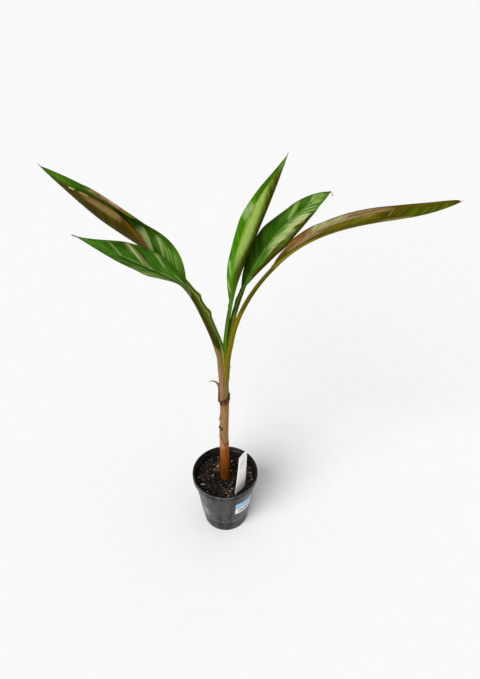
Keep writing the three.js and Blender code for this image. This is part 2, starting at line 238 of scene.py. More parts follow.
# Painted highlight: a thin grey line along the lip's outer shoulder and another along the step, broken up by
# the drag lines and the painted sheen.
lip_from, lip_to = (POT_LIP_RADIUS - 2.5) * MM, (POT_LIP_RADIUS - 1.5) * MM
outer = add(tree, "MapRange", {0: radial, 1: lip_from, 2: lip_to, 3: 0.0, 4: 1.0}).outputs[0]
shoulder_at = (POT_HEIGHT - 1.4) * MM
above = add(tree, "Math", {0: apart.outputs["Z"], 1: shoulder_at}, operation="SUBTRACT").outputs[0]
beside = add(tree, "Math", {0: above}, operation="ABSOLUTE").outputs[0]
shoulder = add(tree, "MapRange", {0: beside, 1: 0.0012, 2: 0.0003, 3: 0.0, 4: 0.6}).outputs[0]
lip_highlight = add(tree, "Math", {0: outer, 1: shoulder}, operation="MULTIPLY").outputs[0]
step_at = (POT_STEP_HEIGHT + 0.6) * MM
over_step = add(tree, "Math", {0: apart.outputs["Z"], 1: step_at}, operation="SUBTRACT").outputs[0]
by_step = add(tree, "Math", {0: over_step}, operation="ABSOLUTE").outputs[0]
step_highlight = add(tree, "MapRange", {0: by_step, 1: 0.0018, 2: 0.0005, 3: 0.0, 4: 0.8}).outputs[0]
highlight_lines = add(tree, "Math", {0: lip_highlight, 1: step_highlight}, operation="MAXIMUM").outputs[0]
patchy = add(tree, "MapRange", {0: drawn, 1: 0.0, 2: 1.0, 3: 0.3, 4: 1.0}).outputs[0]
patchy_highlight = add(tree, "Math", {0: highlight_lines, 1: patchy}, operation="MULTIPLY").outputs[0]
# This mix paints the highlight lines in grey; it is not wear.
worn = add(tree, "Mix", {0: patchy_highlight, 6: scuffed.outputs[2], 7: linear("#85827c")}, data_type="RGBA")
tree.links.new(worn.outputs[2], shader.inputs["Base Color"])
rough = add(tree, "MapRange", {0: dust, 1: 0.3, 2: 0.8, 3: 0.24, 4: 0.4}).outputs[0]
tree.links.new(rough, shader.inputs["Roughness"])
bump = add(tree, "Bump", {"Height": lines, "Strength": 0.25, "Distance": 0.0003})
tree.links.new(bump.outputs[0], shader.inputs["Normal"])
gloss = add(tree, "MapRange", {0: drawn, 1: 0.0, 2: 1.0, 3: 0.13, 4: 0.4}).outputs[0]
dull_to, full_from = (POT_STEP_HEIGHT - 1.6) * MM, (POT_STEP_HEIGHT - 0.2) * MM
duller = add(tree, "MapRange", {0: apart.outputs["Z"], 1: dull_to, 2: full_from, 3: 0.45, 4: 1.0}).outputs[0]
shine = add(tree, "Math", {0: gloss, 1: duller}, operation="MULTIPLY").outputs[0]
tree.links.new(shine, shader.inputs["Specular IOR Level"])
shader.inputs["IOR"].default_value = 1.49

lip_foot = POT_HEIGHT - POT_LIP_HEIGHT
shelf = lip_foot + POT_SHELF
inner = POT_WALL + POT_STEP
profile = np.array([
    (POLE, 0), (wall_radius(0) - POT_STEP, 0), (wall_radius(POT_STEP_HEIGHT) - POT_STEP, POT_STEP_HEIGHT - 1),
    (wall_radius(POT_STEP_HEIGHT), POT_STEP_HEIGHT), (POT_TOP_RADIUS, lip_foot), (POT_LIP_RADIUS, lip_foot),
    (POT_LIP_RADIUS, POT_HEIGHT), (wall_radius(POT_HEIGHT) - POT_LEDGE, POT_HEIGHT),
    (wall_radius(shelf) - POT_LEDGE, shelf), (wall_radius(shelf - 1) - POT_WALL, shelf - 1),
    (wall_radius(lip_foot) - POT_WALL, lip_foot), (wall_radius(lip_foot) - POT_WALL - 0.8, lip_foot - 2.5),
    (wall_radius(POT_STEP_HEIGHT) - inner, POT_STEP_HEIGHT), (wall_radius(POT_FLOOR) - inner, POT_FLOOR),
    (POLE, POT_FLOOR),
], float)
radii = [0, 1.6, 0.5, 0.4, 0.5, 1.2, 2.8, 1.8, 0.5, 0.4, 0.5, 0.6, 0.5, 0.8, 0]
pot_rings = turned(rounded(profile, radii), POT_SIDES)
angle = np.degrees(np.arctan2(pot_rings[..., 0], -pot_rings[..., 1]))
reach = np.hypot(pot_rings[..., 0], pot_rings[..., 1])
on_wall = (reach > wall_radius(pot_rings[..., 2]) - 0.8) & (pot_rings[..., 2] < lip_foot)
seam = SEAM_RISE * np.exp(-((angle - SEAM_ANGLE) / SEAM_WIDTH) ** 2) * on_wall
pot_rings[..., :2] *= (1 + seam / np.maximum(reach, 1))[..., None]
pot = skin("nursery_pot", pot_rings, pot_plastic, ("pot",))

hole_angles = np.radians(360 / DRAIN_HOLES * (np.arange(DRAIN_HOLES) + 0.5))
for k, turn in enumerate(hole_angles):
    circle = np.linspace(0, 2 * np.pi, DRAIN_SIDES, endpoint=False)
    x = DRAIN_CIRCLE * np.cos(turn) + DRAIN_RADIUS * np.cos(circle)
    y = DRAIN_CIRCLE * np.sin(turn) + DRAIN_RADIUS * np.sin(circle)
    bore = np.stack([np.stack([x, y, 0 * x + height], -1) for height in (-POT_FLOOR, 2 * POT_FLOOR)])
    cutter = skin(f"drain_bore_{k}", bore, pot_plastic)
    cut = pot.modifiers.new("drain", "BOOLEAN")
    cut.object, cut.operation, cut.solver = cutter, "DIFFERENCE", "EXACT"
    bpy.context.view_layer.update()
    drilled = bpy.data.meshes.new_from_object(pot.evaluated_get(bpy.context.evaluated_depsgraph_get()))
    pot.modifiers.clear()
    pot.data = drilled
    bpy.data.objects.remove(cutter)

# ---------------------------------------------------------------------------------------------
# Care sticker: a strip of gloss paper wrapped a little way round the pot's front right, printed
# with a plain blue band over a white one that has gone grey along its middle, and pressed on by hand.
STICKER_ANGLES, STICKER_HEIGHTS = (22.0, 66.0), (55.0, 87.0)
STICKER_BACK, STICKER_FACE = 0.05, 0.25  # how far its two sides stand off the wall
STICKER_COLUMNS, STICKER_ROWS = 40, 12

# Coated paper: smooth and half glossy, its white rubbed grey along the band's middle.
sticker_paper, tree, shader = surface_of("coated_sticker_paper")
band = add(tree, "Attribute", attribute_name="share_up").outputs["Fac"]
across = add(tree, "Attribute", attribute_name="share_across").outputs["Fac"]
where = add(tree, "TexCoord").outputs["Object"]
worn = add(tree, "TexNoise", {"Vector": where, "Scale": 260.0, "Detail": 4.0}).outputs[0]
blue = add(tree, "Mix", {0: worn, 6: linear("#6fb2da"), 7: linear("#9ccbe6")}, data_type="RGBA").outputs[2]
white = add(tree, "Mix", {0: worn, 6: linear("#e9e2d8"), 7: linear("#f4f0ea")}, data_type="RGBA").outputs[2]
middle = add(tree, "Math", {0: band, 1: 0.24}, operation="SUBTRACT").outputs[0]
off = add(tree, "Math", {0: middle}, operation="ABSOLUTE").outputs[0]
line = add(tree, "MapRange", {0: off, 1: 0.13, 2: 0.05, 3: 0.0, 4: 1.0}).outputs[0]
reading = add(tree, "MapRange", {0: across, 1: 0.12, 2: 0.2, 3: 0.0, 4: 1.0}).outputs[0]
smear = add(tree, "MapRange", {0: worn, 1: 0.4, 2: 0.5, 3: 0.0, 4: 1.0}).outputs[0]
grey = add(tree, "Math", {0: line, 1: smear}, operation="MULTIPLY").outputs[0]
greyer = add(tree, "Math", {0: grey, 1: reading}, operation="MULTIPLY").outputs[0]
soiled = add(tree, "Mix", {0: greyer, 6: white, 7: linear("#453e3a")}, data_type="RGBA").outputs[2]
upper = add(tree, "MapRange", {0: band, 1: 0.455, 2: 0.475, 3: 0.0, 4: 1.0}).outputs[0]
printed = add(tree, "Mix", {0: upper, 6: soiled, 7: blue}, data_type="RGBA").outputs[2]
tree.links.new(printed, shader.inputs["Base Color"])
shader.inputs["Roughness"].default_value = 0.4

turn = np.linspace(*np.radians(STICKER_ANGLES), STICKER_COLUMNS)[:, None]
up = np.linspace(0, 1, STICKER_ROWS)
height = STICKER_HEIGHTS[0] + (STICKER_HEIGHTS[1] - STICKER_HEIGHTS[0]) * up[None]


def on_wall_at(proud):
    """Sheet parallel to the pot's wall and that far outside it: radius(z) + proud at each angle."""
    radius = wall_radius(height) + proud
    return np.stack([radius * np.sin(turn), -radius * np.cos(turn), height + 0 * turn], -1)


sticker_rings = np.concatenate([on_wall_at(STICKER_BACK), on_wall_at(STICKER_FACE)[:, ::-1]], 1)
shares = np.concatenate([up, up[::-1]])[None] + 0 * turn
skin("care_sticker", sticker_rings, sticker_paper, masks={
    "share_up": shares, "share_across": np.linspace(0, 1, STICKER_COLUMNS)[:, None] + 0 * shares,
})

# ---------------------------------------------------------------------------------------------
# Potting mix: dark crumbled peat and coir that fills the pot to 15 mm below its brim, with bark
# chips and a few grains of perlite, heaped a little where it was pressed round the stem.
GAP = 0.3  # clearance between pieces that meet
MIX_HEIGHT, MIX_ROUGHNESS, MIX_SIDES, MIX_ROWS = 105.0, 1.2, 180, 46
MIX_LUMPS = ((2.2, 9.0, 50), (1.6, 3.6, 70), (0.9, 1.6, 90))  # height, width and place in the field
MIX_HEAP, HEAP_RADIUS, HEAP_WIDTH = 1.5, 9.0, 7.0
CRUMBS, CRUMB_SIZE = 2300, (0.6, 2.1)
SLIVERS, SLIVER_SIZE, SLIVER_LENGTH = 650, (0.5, 1.2), (1, 3.5)  # length for width
CHIPS, CHIP_SIZE, CHIP_LENGTH = 120, (1.0, 3.2), 1.9
PERLITE, PERLITE_SIZE = 30, (0.6, 1.4)
OFF_STEM, OFF_WALL, CHIPS_OFF_WALL = 12.0, 2.5, 3.5  # from the stem's middle, and from the wall
BIT_RINGS, BIT_POINTS = 5, 7
LATTICE = 512  # cells each way before a random field repeats


def mottle(x, y, seed, wrap=0):
    """Smooth random field from 0 to 1: seeded numbers on a whole-number lattice, joined by
    t * t * (3 - 2 t) along both sides of a cell. Where wrap is set, x comes round after that many."""
    lattice = np.random.default_rng(seed).random((LATTICE, LATTICE))
    i, j = np.floor(x).astype(int), np.floor(y).astype(int)
    s, t = x - i, y - j
    s, t = s * s * (3 - 2 * s), t * t * (3 - 2 * t)
    left, right = i % (wrap or LATTICE), (i + 1) % (wrap or LATTICE)
    low, high = j % LATTICE, (j + 1) % LATTICE
    return ((lattice[left, low] * (1 - s) + lattice[right, low] * s) * (1 - t)
            + (lattice[left, high] * (1 - s) + lattice[right, high] * s) * t)


def mix_level(x, y):
    """Height of the mix: the sum of three sizes of lump, and a ring heaped against the stem that
    falls off as exp(-(distance / width)^2)."""
    uneven = 0
    for seed, (high, wide, aside) in enumerate(MIX_LUMPS, 3):
        uneven = uneven + high * (mottle(x / wide + aside, y / wide + aside, seed) - 0.5)
    heap = MIX_HEAP * np.exp(-((np.hypot(x, y) - HEAP_RADIUS) / HEAP_WIDTH) ** 2)
    return MIX_HEIGHT + uneven * MIX_ROUGHNESS + heap


# Peat-based mix: almost black when damp, matt, and browner on the lumps that have dried.
mix_peat, tree, shader = surface_of("damp_peat_mix")
where = add(tree, "TexCoord").outputs["Object"]
fine = add(tree, "TexNoise", {"Vector": where, "Scale": 900.0, "Detail": 5.0, "Roughness": 0.7}).outputs[0]
broad = add(tree, "TexNoise", {"Vector": where, "Scale": 120.0, "Detail": 3.0}).outputs[0]
dry = add(tree, "MapRange", {0: broad, 1: 0.5, 2: 0.72, 3: 0.0, 4: 0.75}).outputs[0]
damp = add(tree, "Mix", {0: fine, 6: linear("#060605"), 7: linear("#191714")}, data_type="RGBA").outputs[2]
peat = add(tree, "Mix", {0: dry, 6: damp, 7: linear("#24201b")}, data_type="RGBA").outputs[2]
tree.links.new(peat, shader.inputs["Base Color"])
bump = add(tree, "Bump", {"Height": fine, "Strength": 0.9, "Distance": 0.0012})
tree.links.new(bump.outputs[0], shader.inputs["Normal"])
shader.inputs["Roughness"].default_value = 0.85
shader.inputs["Specular IOR Level"].default_value = 0.1

inset = POT_WALL + GAP
rim = wall_radius(MIX_HEIGHT) - inset
share = np.linspace(1, 0.004, MIX_ROWS) ** 0.9
side_profile = np.array([
    (POLE, POT_FLOOR + GAP), (wall_radius(POT_FLOOR) - inset - POT_STEP, POT_FLOOR + GAP),
    (wall_radius(POT_STEP_HEIGHT) - inset - POT_STEP, POT_STEP_HEIGHT), (rim - 0.6, MIX_HEIGHT - 3),
])
mix_profile = np.concatenate([side_profile, np.stack([(rim - 0.4) * share, 0 * share + MIX_HEIGHT], -1)])
mix_rings = turned(mix_profile, MIX_SIDES)
top = mix_rings[len(side_profile):]
top[..., 2] = mix_level(top[..., 0], top[..., 1])
skin("potting_mix_fill", mix_rings, mix_peat, ("potting_mix",))


def lumps(name, x, y, size, flat, seed, material, lift=0.25, long=1.0, turns=2 * np.pi):
    """One mesh of many small broken bits: a ball of a few rings, its points pushed in or out by a
    seeded share, scaled to (size * long, size, size * flat), tipped a little, turned by up to turns
    and set in the mix, lift of its thickness above it."""
    draw = np.random.default_rng(seed)
    count, each = len(x), BIT_RINGS * BIT_POINTS
    polar = np.linspace(0.25, np.pi - 0.25, BIT_RINGS)
    round_ = np.linspace(0, 2 * np.pi, BIT_POINTS, endpoint=False)
    ball = np.stack([
        np.sin(polar)[:, None] * np.cos(round_), np.sin(polar)[:, None] * np.sin(round_),
        np.cos(polar)[:, None] + 0 * round_,
    ], -1).reshape(-1, 3)
    body = ball[None] * (0.72 + 0.5 * draw.random((count, each, 1)))
    body = body * np.stack([size * long, size, size * flat], -1)[:, None] / 2
    yaw, tip = draw.random(count) * turns, (draw.random(count) - 0.5) * 0.9
    x1 = body[..., 0] * np.cos(tip)[:, None] + body[..., 2] * np.sin(tip)[:, None]
    z1 = body[..., 2] * np.cos(tip)[:, None] - body[..., 0] * np.sin(tip)[:, None]
    at = np.stack([
        x1 * np.cos(yaw)[:, None] - body[..., 1] * np.sin(yaw)[:, None] + x[:, None],
        x1 * np.sin(yaw)[:, None] + body[..., 1] * np.cos(yaw)[:, None] + y[:, None],
        z1 + (mix_level(x, y) + size * flat * lift)[:, None],
    ], -1)
    first = each * np.arange(count)[:, None, None]
    row, step = np.meshgrid(np.arange(BIT_RINGS - 1), np.arange(BIT_POINTS), indexing="ij")
    here, following = row * BIT_POINTS, (step + 1) % BIT_POINTS
    below = here + BIT_POINTS
    sides = np.stack([here + step, below + step, below + following, here + following], -1)
    sides = (sides.reshape(1, -1, 4) + first).reshape(-1, 4)
    pole = np.arange(BIT_POINTS)
    caps = (np.stack([pole, each - BIT_POINTS + pole[::-1]])[None] + first).reshape(-1, BIT_POINTS)
    mesh = bpy.data.meshes.new(name)
    mesh.from_pydata(at.reshape(-1, 3) * MM, [], sides.tolist() + caps.tolist())
    mesh.materials.append(material)
    tint = mesh.attributes.new("tint", "FLOAT", "POINT")
    tint.data.foreach_set("value", np.repeat(draw.random(count), each).astype(np.float32))
    piece = place(name, mesh)
    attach(piece, "root")


def scattered(count, seed):
    """Seeded places on the mix, even by area: radius sqrt(random) between the stem and the wall."""
    draw = np.random.default_rng(seed)
    farthest = rim - OFF_WALL
    radius = np.sqrt(draw.uniform((OFF_STEM / farthest) ** 2, 1, count)) * farthest
    turn = draw.uniform(0, 2 * np.pi, count)
    return radius * np.sin(turn), -radius * np.cos(turn)


def crumb_finish(name, dark, light, roughness):
    """Matt broken surface: each lump takes its own tint between two colours, under fine grain."""
    material, tree, shader = surface_of(name)
    tint = add(tree, "Attribute", attribute_name="tint").outputs["Fac"]
    where = add(tree, "TexCoord").outputs["Object"]
    grain = add(tree, "TexNoise", {"Vector": where, "Scale": 1400.0, "Detail": 3.0}).outputs[0]
    mixed = add(tree, "Mix", {0: 0.4, 2: tint, 3: grain}, data_type="FLOAT")
    colour = add(tree, "Mix", {0: mixed.outputs[0], 6: linear(dark), 7: linear(light)}, data_type="RGBA")
    tree.links.new(colour.outputs[2], shader.inputs["Base Color"])
    bump = add(tree, "Bump", {"Height": grain, "Strength": 0.5, "Distance": 0.0004})
    tree.links.new(bump.outputs[0], shader.inputs["Normal"])
    shader.inputs["Roughness"].default_value = roughness
    shader.inputs["Specular IOR Level"].default_value = 0.12
    return material


draw = np.random.default_rng(11)
x, y = scattered(CRUMBS, 12)
crumb_peat = crumb_finish("peat_crumbs", "#040403", "#2c2621", 0.9)
lumps("peat_crumbs", x, y, draw.uniform(*CRUMB_SIZE, CRUMBS), 0.7, 13, crumb_peat)

# Coir: grey-brown slivers of fibre, mostly buried, that catch the light.
x, y = scattered(SLIVERS, 19)
coir = crumb_finish("coir_fibre", "#1d1814", "#8a8074", 0.8)
size, length = draw.uniform(*SLIVER_SIZE, SLIVERS), draw.uniform(*SLIVER_LENGTH, SLIVERS)
lumps("coir_slivers", x, y, size, 0.5, 20, coir, lift=0.5, long=length)

# Bark: shredded pine in tan to rust flakes, thickest in a heap left of the stem and by the label.
heaps = np.array([(-16, 21), (-18, 13), (-13, 15), (2, -40), (9, -34), (13, -24), (45, 12), (47, -4)])
spread = np.array([4.0, 3.5, 3.0, 5.0, 5.0, 5.0, 5.0, 4.0])
picked = draw.integers(0, len(heaps), CHIPS * 3 // 4)
heaped = heaps[picked] + draw.normal(0, 1, (len(picked), 2)) * spread[picked][:, None]
loose = np.stack(scattered(CHIPS - len(picked), 14), -1)
spots = np.concatenate([heaped, loose])
spots = spots * np.minimum(1, (rim - CHIPS_OFF_WALL) / np.hypot(*spots.T))[:, None]
bark = crumb_finish("shredded_pine_bark", "#24140a", "#8a5c3a", 0.8)
lumps("bark_chips", *spots.T, draw.uniform(*CHIP_SIZE, CHIPS), 0.5, 15, bark, lift=0.4, long=CHIP_LENGTH)

# Weathered chips, bleached and lying on top: x, y, size, and length for width.
weathered = np.array([
    (-38, -17, 3.8, 3.4), (-47, -3, 2.0, 1.8), (-22, 0, 2.2, 1.6), (-14, 22, 2.6, 2.0), (-19, 15, 2.2, 2.2),
    (10, 12, 2.8, 2.2), (11, 33, 2.4, 1.8), (3, -37, 2.6, 1.8), (9, -32, 2.8, 1.6), (12, -26, 2.2, 1.8),
    (6, -42, 2.4, 2.0), (-30, -33, 1.6, 2.0), (44, 8, 2.2, 1.8), (47, -6, 2.0, 2.0),
])
pale_bark = crumb_finish("weathered_bark", "#5e4a36", "#cdbda6", 0.75)
lumps("pale_bark_chips", *weathered.T[:3], 0.5, 16, pale_bark, lift=0.6, long=weathered[:, 3], turns=0.5)

# Perlite: expanded volcanic glass, small white grains with a dusty surface, three in the open.
perlite_glass = crumb_finish("expanded_perlite", "#9b9893", "#e9e6e0", 0.7)
x, y = scattered(PERLITE, 17)
x[:3], y[:3] = (-1, -4, -29), (-19, -25, -34)
lumps("perlite_grains", x, y, draw.uniform(*PERLITE_SIZE, PERLITE), 0.9, 18, perlite_glass, lift=0.4)

# ---------------------------------------------------------------------------------------------
# Stem: a false stem of leaf sheaths rolled round each other. The lowest has turned orange-brown
# and ends in a torn slanting edge, a papery scar rings it higher up, and fresh ones overlap above.
FORK_HEIGHT = 372.0
STEM_RADII = [8.6, 8.1, 7.4, 7.25, 7.1, 7.1, 7.0, 7.6, 10.3]
STEM_DRIFT = [0, -0.1, -0.1, -0.2, 0.5, 1.7, 1.8, 1.8, 2.7]
STEM_DEPTHS = [8.6, 8.1, 7.4, 7.25, 7.1, 7.1, 7.0, 7.3, 8.8]
STEM_SET_BACK = [0, 0, 0, 0, 0, 0, 0, 0.3, 1.5]
SCAR_HEIGHT, SCAR_BULGE, SCAR_SPREAD = 291.0, 0.6, 4.0
SCAR_SLANT, SCAR_RAGGED, SCAR_WIDTH = 8.0, 5.0, 5.5
TEAR_HEIGHT, TEAR_DROP, TEAR_RAGGED, TEAR_STEP = 224.0, 26.0, 7.0, 0.6
SHREDS_ANGLE, SHREDS_HEIGHT = 1.3, 302.0  # where a lump of torn shreds stands, radians from the front
LAP_THICKNESS, FIBRE_RISE = 0.45, 0.12
DOME_HEIGHT = 360.0  # the stem is drawn in from here to the fork
STEM_ROWS, STEM_SIDES = 300, 120


def along(stations, t):
    """Smooth curve through evenly spaced stations: cubic Hermite pieces, each station's slope half
    the difference of its neighbours. t runs from 0 at the first to 1 at the last."""
    stations = np.asarray(stations, float)
    last = len(stations) - 1
    x = np.clip(t, 0, 1) * last
    i = np.minimum(np.floor(x).astype(int), last - 1)
    f = x - i
    slope = np.gradient(stations)
    return (stations[i] * (1 + 2 * f) * (1 - f) ** 2 + stations[i + 1] * f * f * (3 - 2 * f)
            + slope[i] * f * (1 - f) ** 2 - slope[i + 1] * f * f * (1 - f))


def step_up(x, low, high):
    """Smooth step: 0 below low, 1 above high, t * t * (3 - 2 t) between."""
    t = np.clip((x - low) / (high - low), 0, 1)
    return t * t * (3 - 2 * t)


def stem_point(height, angle, proud):
    """Point on the stem's outside: an ellipse about its drifting axis, the angle from the front,
    drawn in at its very top by (1 - t^2)^(1/2), where the feet of the stalks hide it."""
    t = (height - MIX_HEIGHT) / (FORK_HEIGHT - MIX_HEIGHT)
    dome = np.sqrt(1 - np.clip((height - DOME_HEIGHT) / (FORK_HEIGHT + 1 - DOME_HEIGHT), 0, 1) ** 2)
    return np.stack([
        along(STEM_DRIFT, t) + (along(STEM_RADII, t) + proud) * dome * np.sin(angle),
        along(STEM_SET_BACK, t) - (along(STEM_DEPTHS, t) + proud) * dome * np.cos(angle),
        height + 0 * angle,
    ], -1)


# The tear runs lowest at the front right, and the scar highest on the right. The fresh sheath laps
# over from a wavering upright edge at the front and thins out all the way round.
height = np.linspace(MIX_HEIGHT - 6, FORK_HEIGHT, STEM_ROWS)[:, None]
angle = np.linspace(-np.pi, np.pi, STEM_SIDES, endpoint=False)[None]
turns = angle / (2 * np.pi) + 0.5
torn_down = step_up(angle, -1.5, 0.35) * (1 - step_up(angle, 2.0, 3.1))
tear = TEAR_HEIGHT - TEAR_DROP * torn_down + TEAR_RAGGED * (mottle(turns * 26, 0 * turns, 21, 26) - 0.5)
below_tear = step_up(tear - height, -0.6, 0.6)
scar_at = SCAR_HEIGHT + 5 + SCAR_SLANT * np.sin(angle)
scar_at = scar_at + SCAR_RAGGED * (mottle(turns * 14, 0 * turns, 22, 14) - 0.5)
scar = np.exp(-((height - scar_at) / SCAR_WIDTH) ** 2)
above_scar = step_up(height - scar_at, -1, 3)
edge_angle = -0.12 + 0.2 * np.sin(height / 23)
lap = ((edge_angle - angle) / (2 * np.pi)) % 1
fresh_lap = (1 - lap) * above_scar * step_up(lap, 0, 0.012)
fibres = mottle(turns * 90, height / 40, 23, 90) - 0.5
fibres = fibres + 0.6 * (mottle(turns * 40, height / 90, 24, 40) - 0.5)
flakes = mottle(turns * 34, height / 2.2, 25, 34)
shreds = np.exp(-((angle - SHREDS_ANGLE) / 0.45) ** 2) * np.exp(-((height - SHREDS_HEIGHT) / 8) ** 2)
proud = (TEAR_STEP * below_tear * np.exp(-(tear - height) / 45)
         + SCAR_BULGE * np.exp(-((height - SCAR_HEIGHT) / SCAR_SPREAD) ** 2)
         + scar * 1.2 * (flakes - 0.25) + shreds * (0.5 + 1.6 * flakes)
         + LAP_THICKNESS * fresh_lap + FIBRE_RISE * fibres)

# Living sheath: smooth and a little waxy, in long upright fibres. It reads orange-brown low down,
# tan above the tear, and pink-brown beside olive above the scar, with dark papery remains. Painted
# shade darkens its foot towards the mix.
stem_sheath, tree, shader = surface_of("banana_sheath")
turn_share = add(tree, "Attribute", attribute_name="turn_mm").outputs["Fac"]
rise = add(tree, "Attribute", attribute_name="rise_mm").outputs["Fac"]
grid = add(tree, "CombineXYZ", {0: turn_share, 1: rise})
stretch = add(tree, "Mapping", {"Vector": grid.outputs[0], "Scale": (0.9, 0.035, 1.0)})
fibre = add(tree, "TexNoise", {"Vector": stretch.outputs[0], "Scale": 1.0, "Detail": 4.0}).outputs[0]
blotch = add(tree, "Mapping", {"Vector": grid.outputs[0], "Scale": (0.22, 0.07, 1.0)})
spots = add(tree, "TexNoise", {
    "Vector": blotch.outputs[0], "Scale": 1.0, "Detail": 5.0, "Roughness": 0.6,
}).outputs[0]
strands = add(tree, "MapRange", {0: fibre, 1: 0.34, 2: 0.66, 3: 0.0, 4: 1.0}).outputs[0]
fleck = add(tree, "MapRange", {0: spots, 1: 0.42, 2: 0.62, 3: 0.0, 4: 1.0}).outputs[0]
# The low colours are painted shade for the stem's foot.
paint = {
    "foot": ("#643306", "#9c5812"), "low": ("#432002", "#70380a"), "blush": ("#94532e", "#bc7c54"),
    "tan": ("#78562e", "#a47c4a"), "olive": ("#5e5620", "#82763a"), "pinkish": ("#6a4828", "#967650"),
    "rusty": ("#7c4420", "#9c6434"), "paper": ("#1a0c06", "#54321f"),
}
shade = {
    key: add(tree, "Mix", {0: strands, 6: linear(low), 7: linear(high)}, data_type="RGBA").outputs[2]
    for key, (low, high) in paint.items()
}
colour = add(tree, "Mix", {0: fleck, 6: shade["tan"], 7: shade["pinkish"]}, data_type="RGBA").outputs[2]
for key in ("olive", "pinkish", "foot", "low", "rusty", "blush", "paper"):
    mask = add(tree, "Attribute", attribute_name=key).outputs["Fac"]
    colour = add(tree, "Mix", {0: mask, 6: colour, 7: shade[key]}, data_type="RGBA").outputs[2]
tree.links.new(colour, shader.inputs["Base Color"])
papery = add(tree, "Attribute", attribute_name="paper").outputs["Fac"]
rough = add(tree, "MapRange", {0: papery, 1: 0.0, 2: 1.0, 3: 0.42, 4: 0.85}).outputs[0]
tree.links.new(rough, shader.inputs["Roughness"])
bump = add(tree, "Bump", {"Height": fibre, "Strength": 0.35, "Distance": 0.0005})
tree.links.new(bump.outputs[0], shader.inputs["Normal"])
shader.inputs["Specular IOR Level"].default_value = 0.12

right_side = step_up(angle - edge_angle, -0.06, 0.06) * step_up(np.pi - 0.3 - np.abs(angle), 0, 0.5)
tear_edge = np.exp(-((height - tear + 1.0) / 2.0) ** 2)
stem_masks = {
    "turn_mm": angle * 8 + 0 * height, "rise_mm": height + 0 * angle,
    "foot": below_tear * step_up(198 - height, -6, 14),
    # low is painted shade: the foot darker towards the mix.
    "low": step_up(150 - height, -22, 22) * 0.9,
    "rusty": 0.8 * step_up(scar_at - height, 2, 8) * step_up(height - scar_at, -26, -8),
    "blush": below_tear * step_up(height - 188, -8, 8) * 0.85,
    "olive": above_scar * right_side, "pinkish": above_scar * (1 - right_side),
    "paper": np.clip(scar * (0.6 + 0.9 * flakes) + 1.2 * shreds + 0.95 * tear_edge
                     + 0.5 * np.exp(-((lap * 48) ** 2)) * above_scar, 0, 1),
}
stem_rings = stem_point(height, angle, proud)
skin("stem_sheaths", stem_rings, stem_sheath, ("pseudostem",), masks=stem_masks)

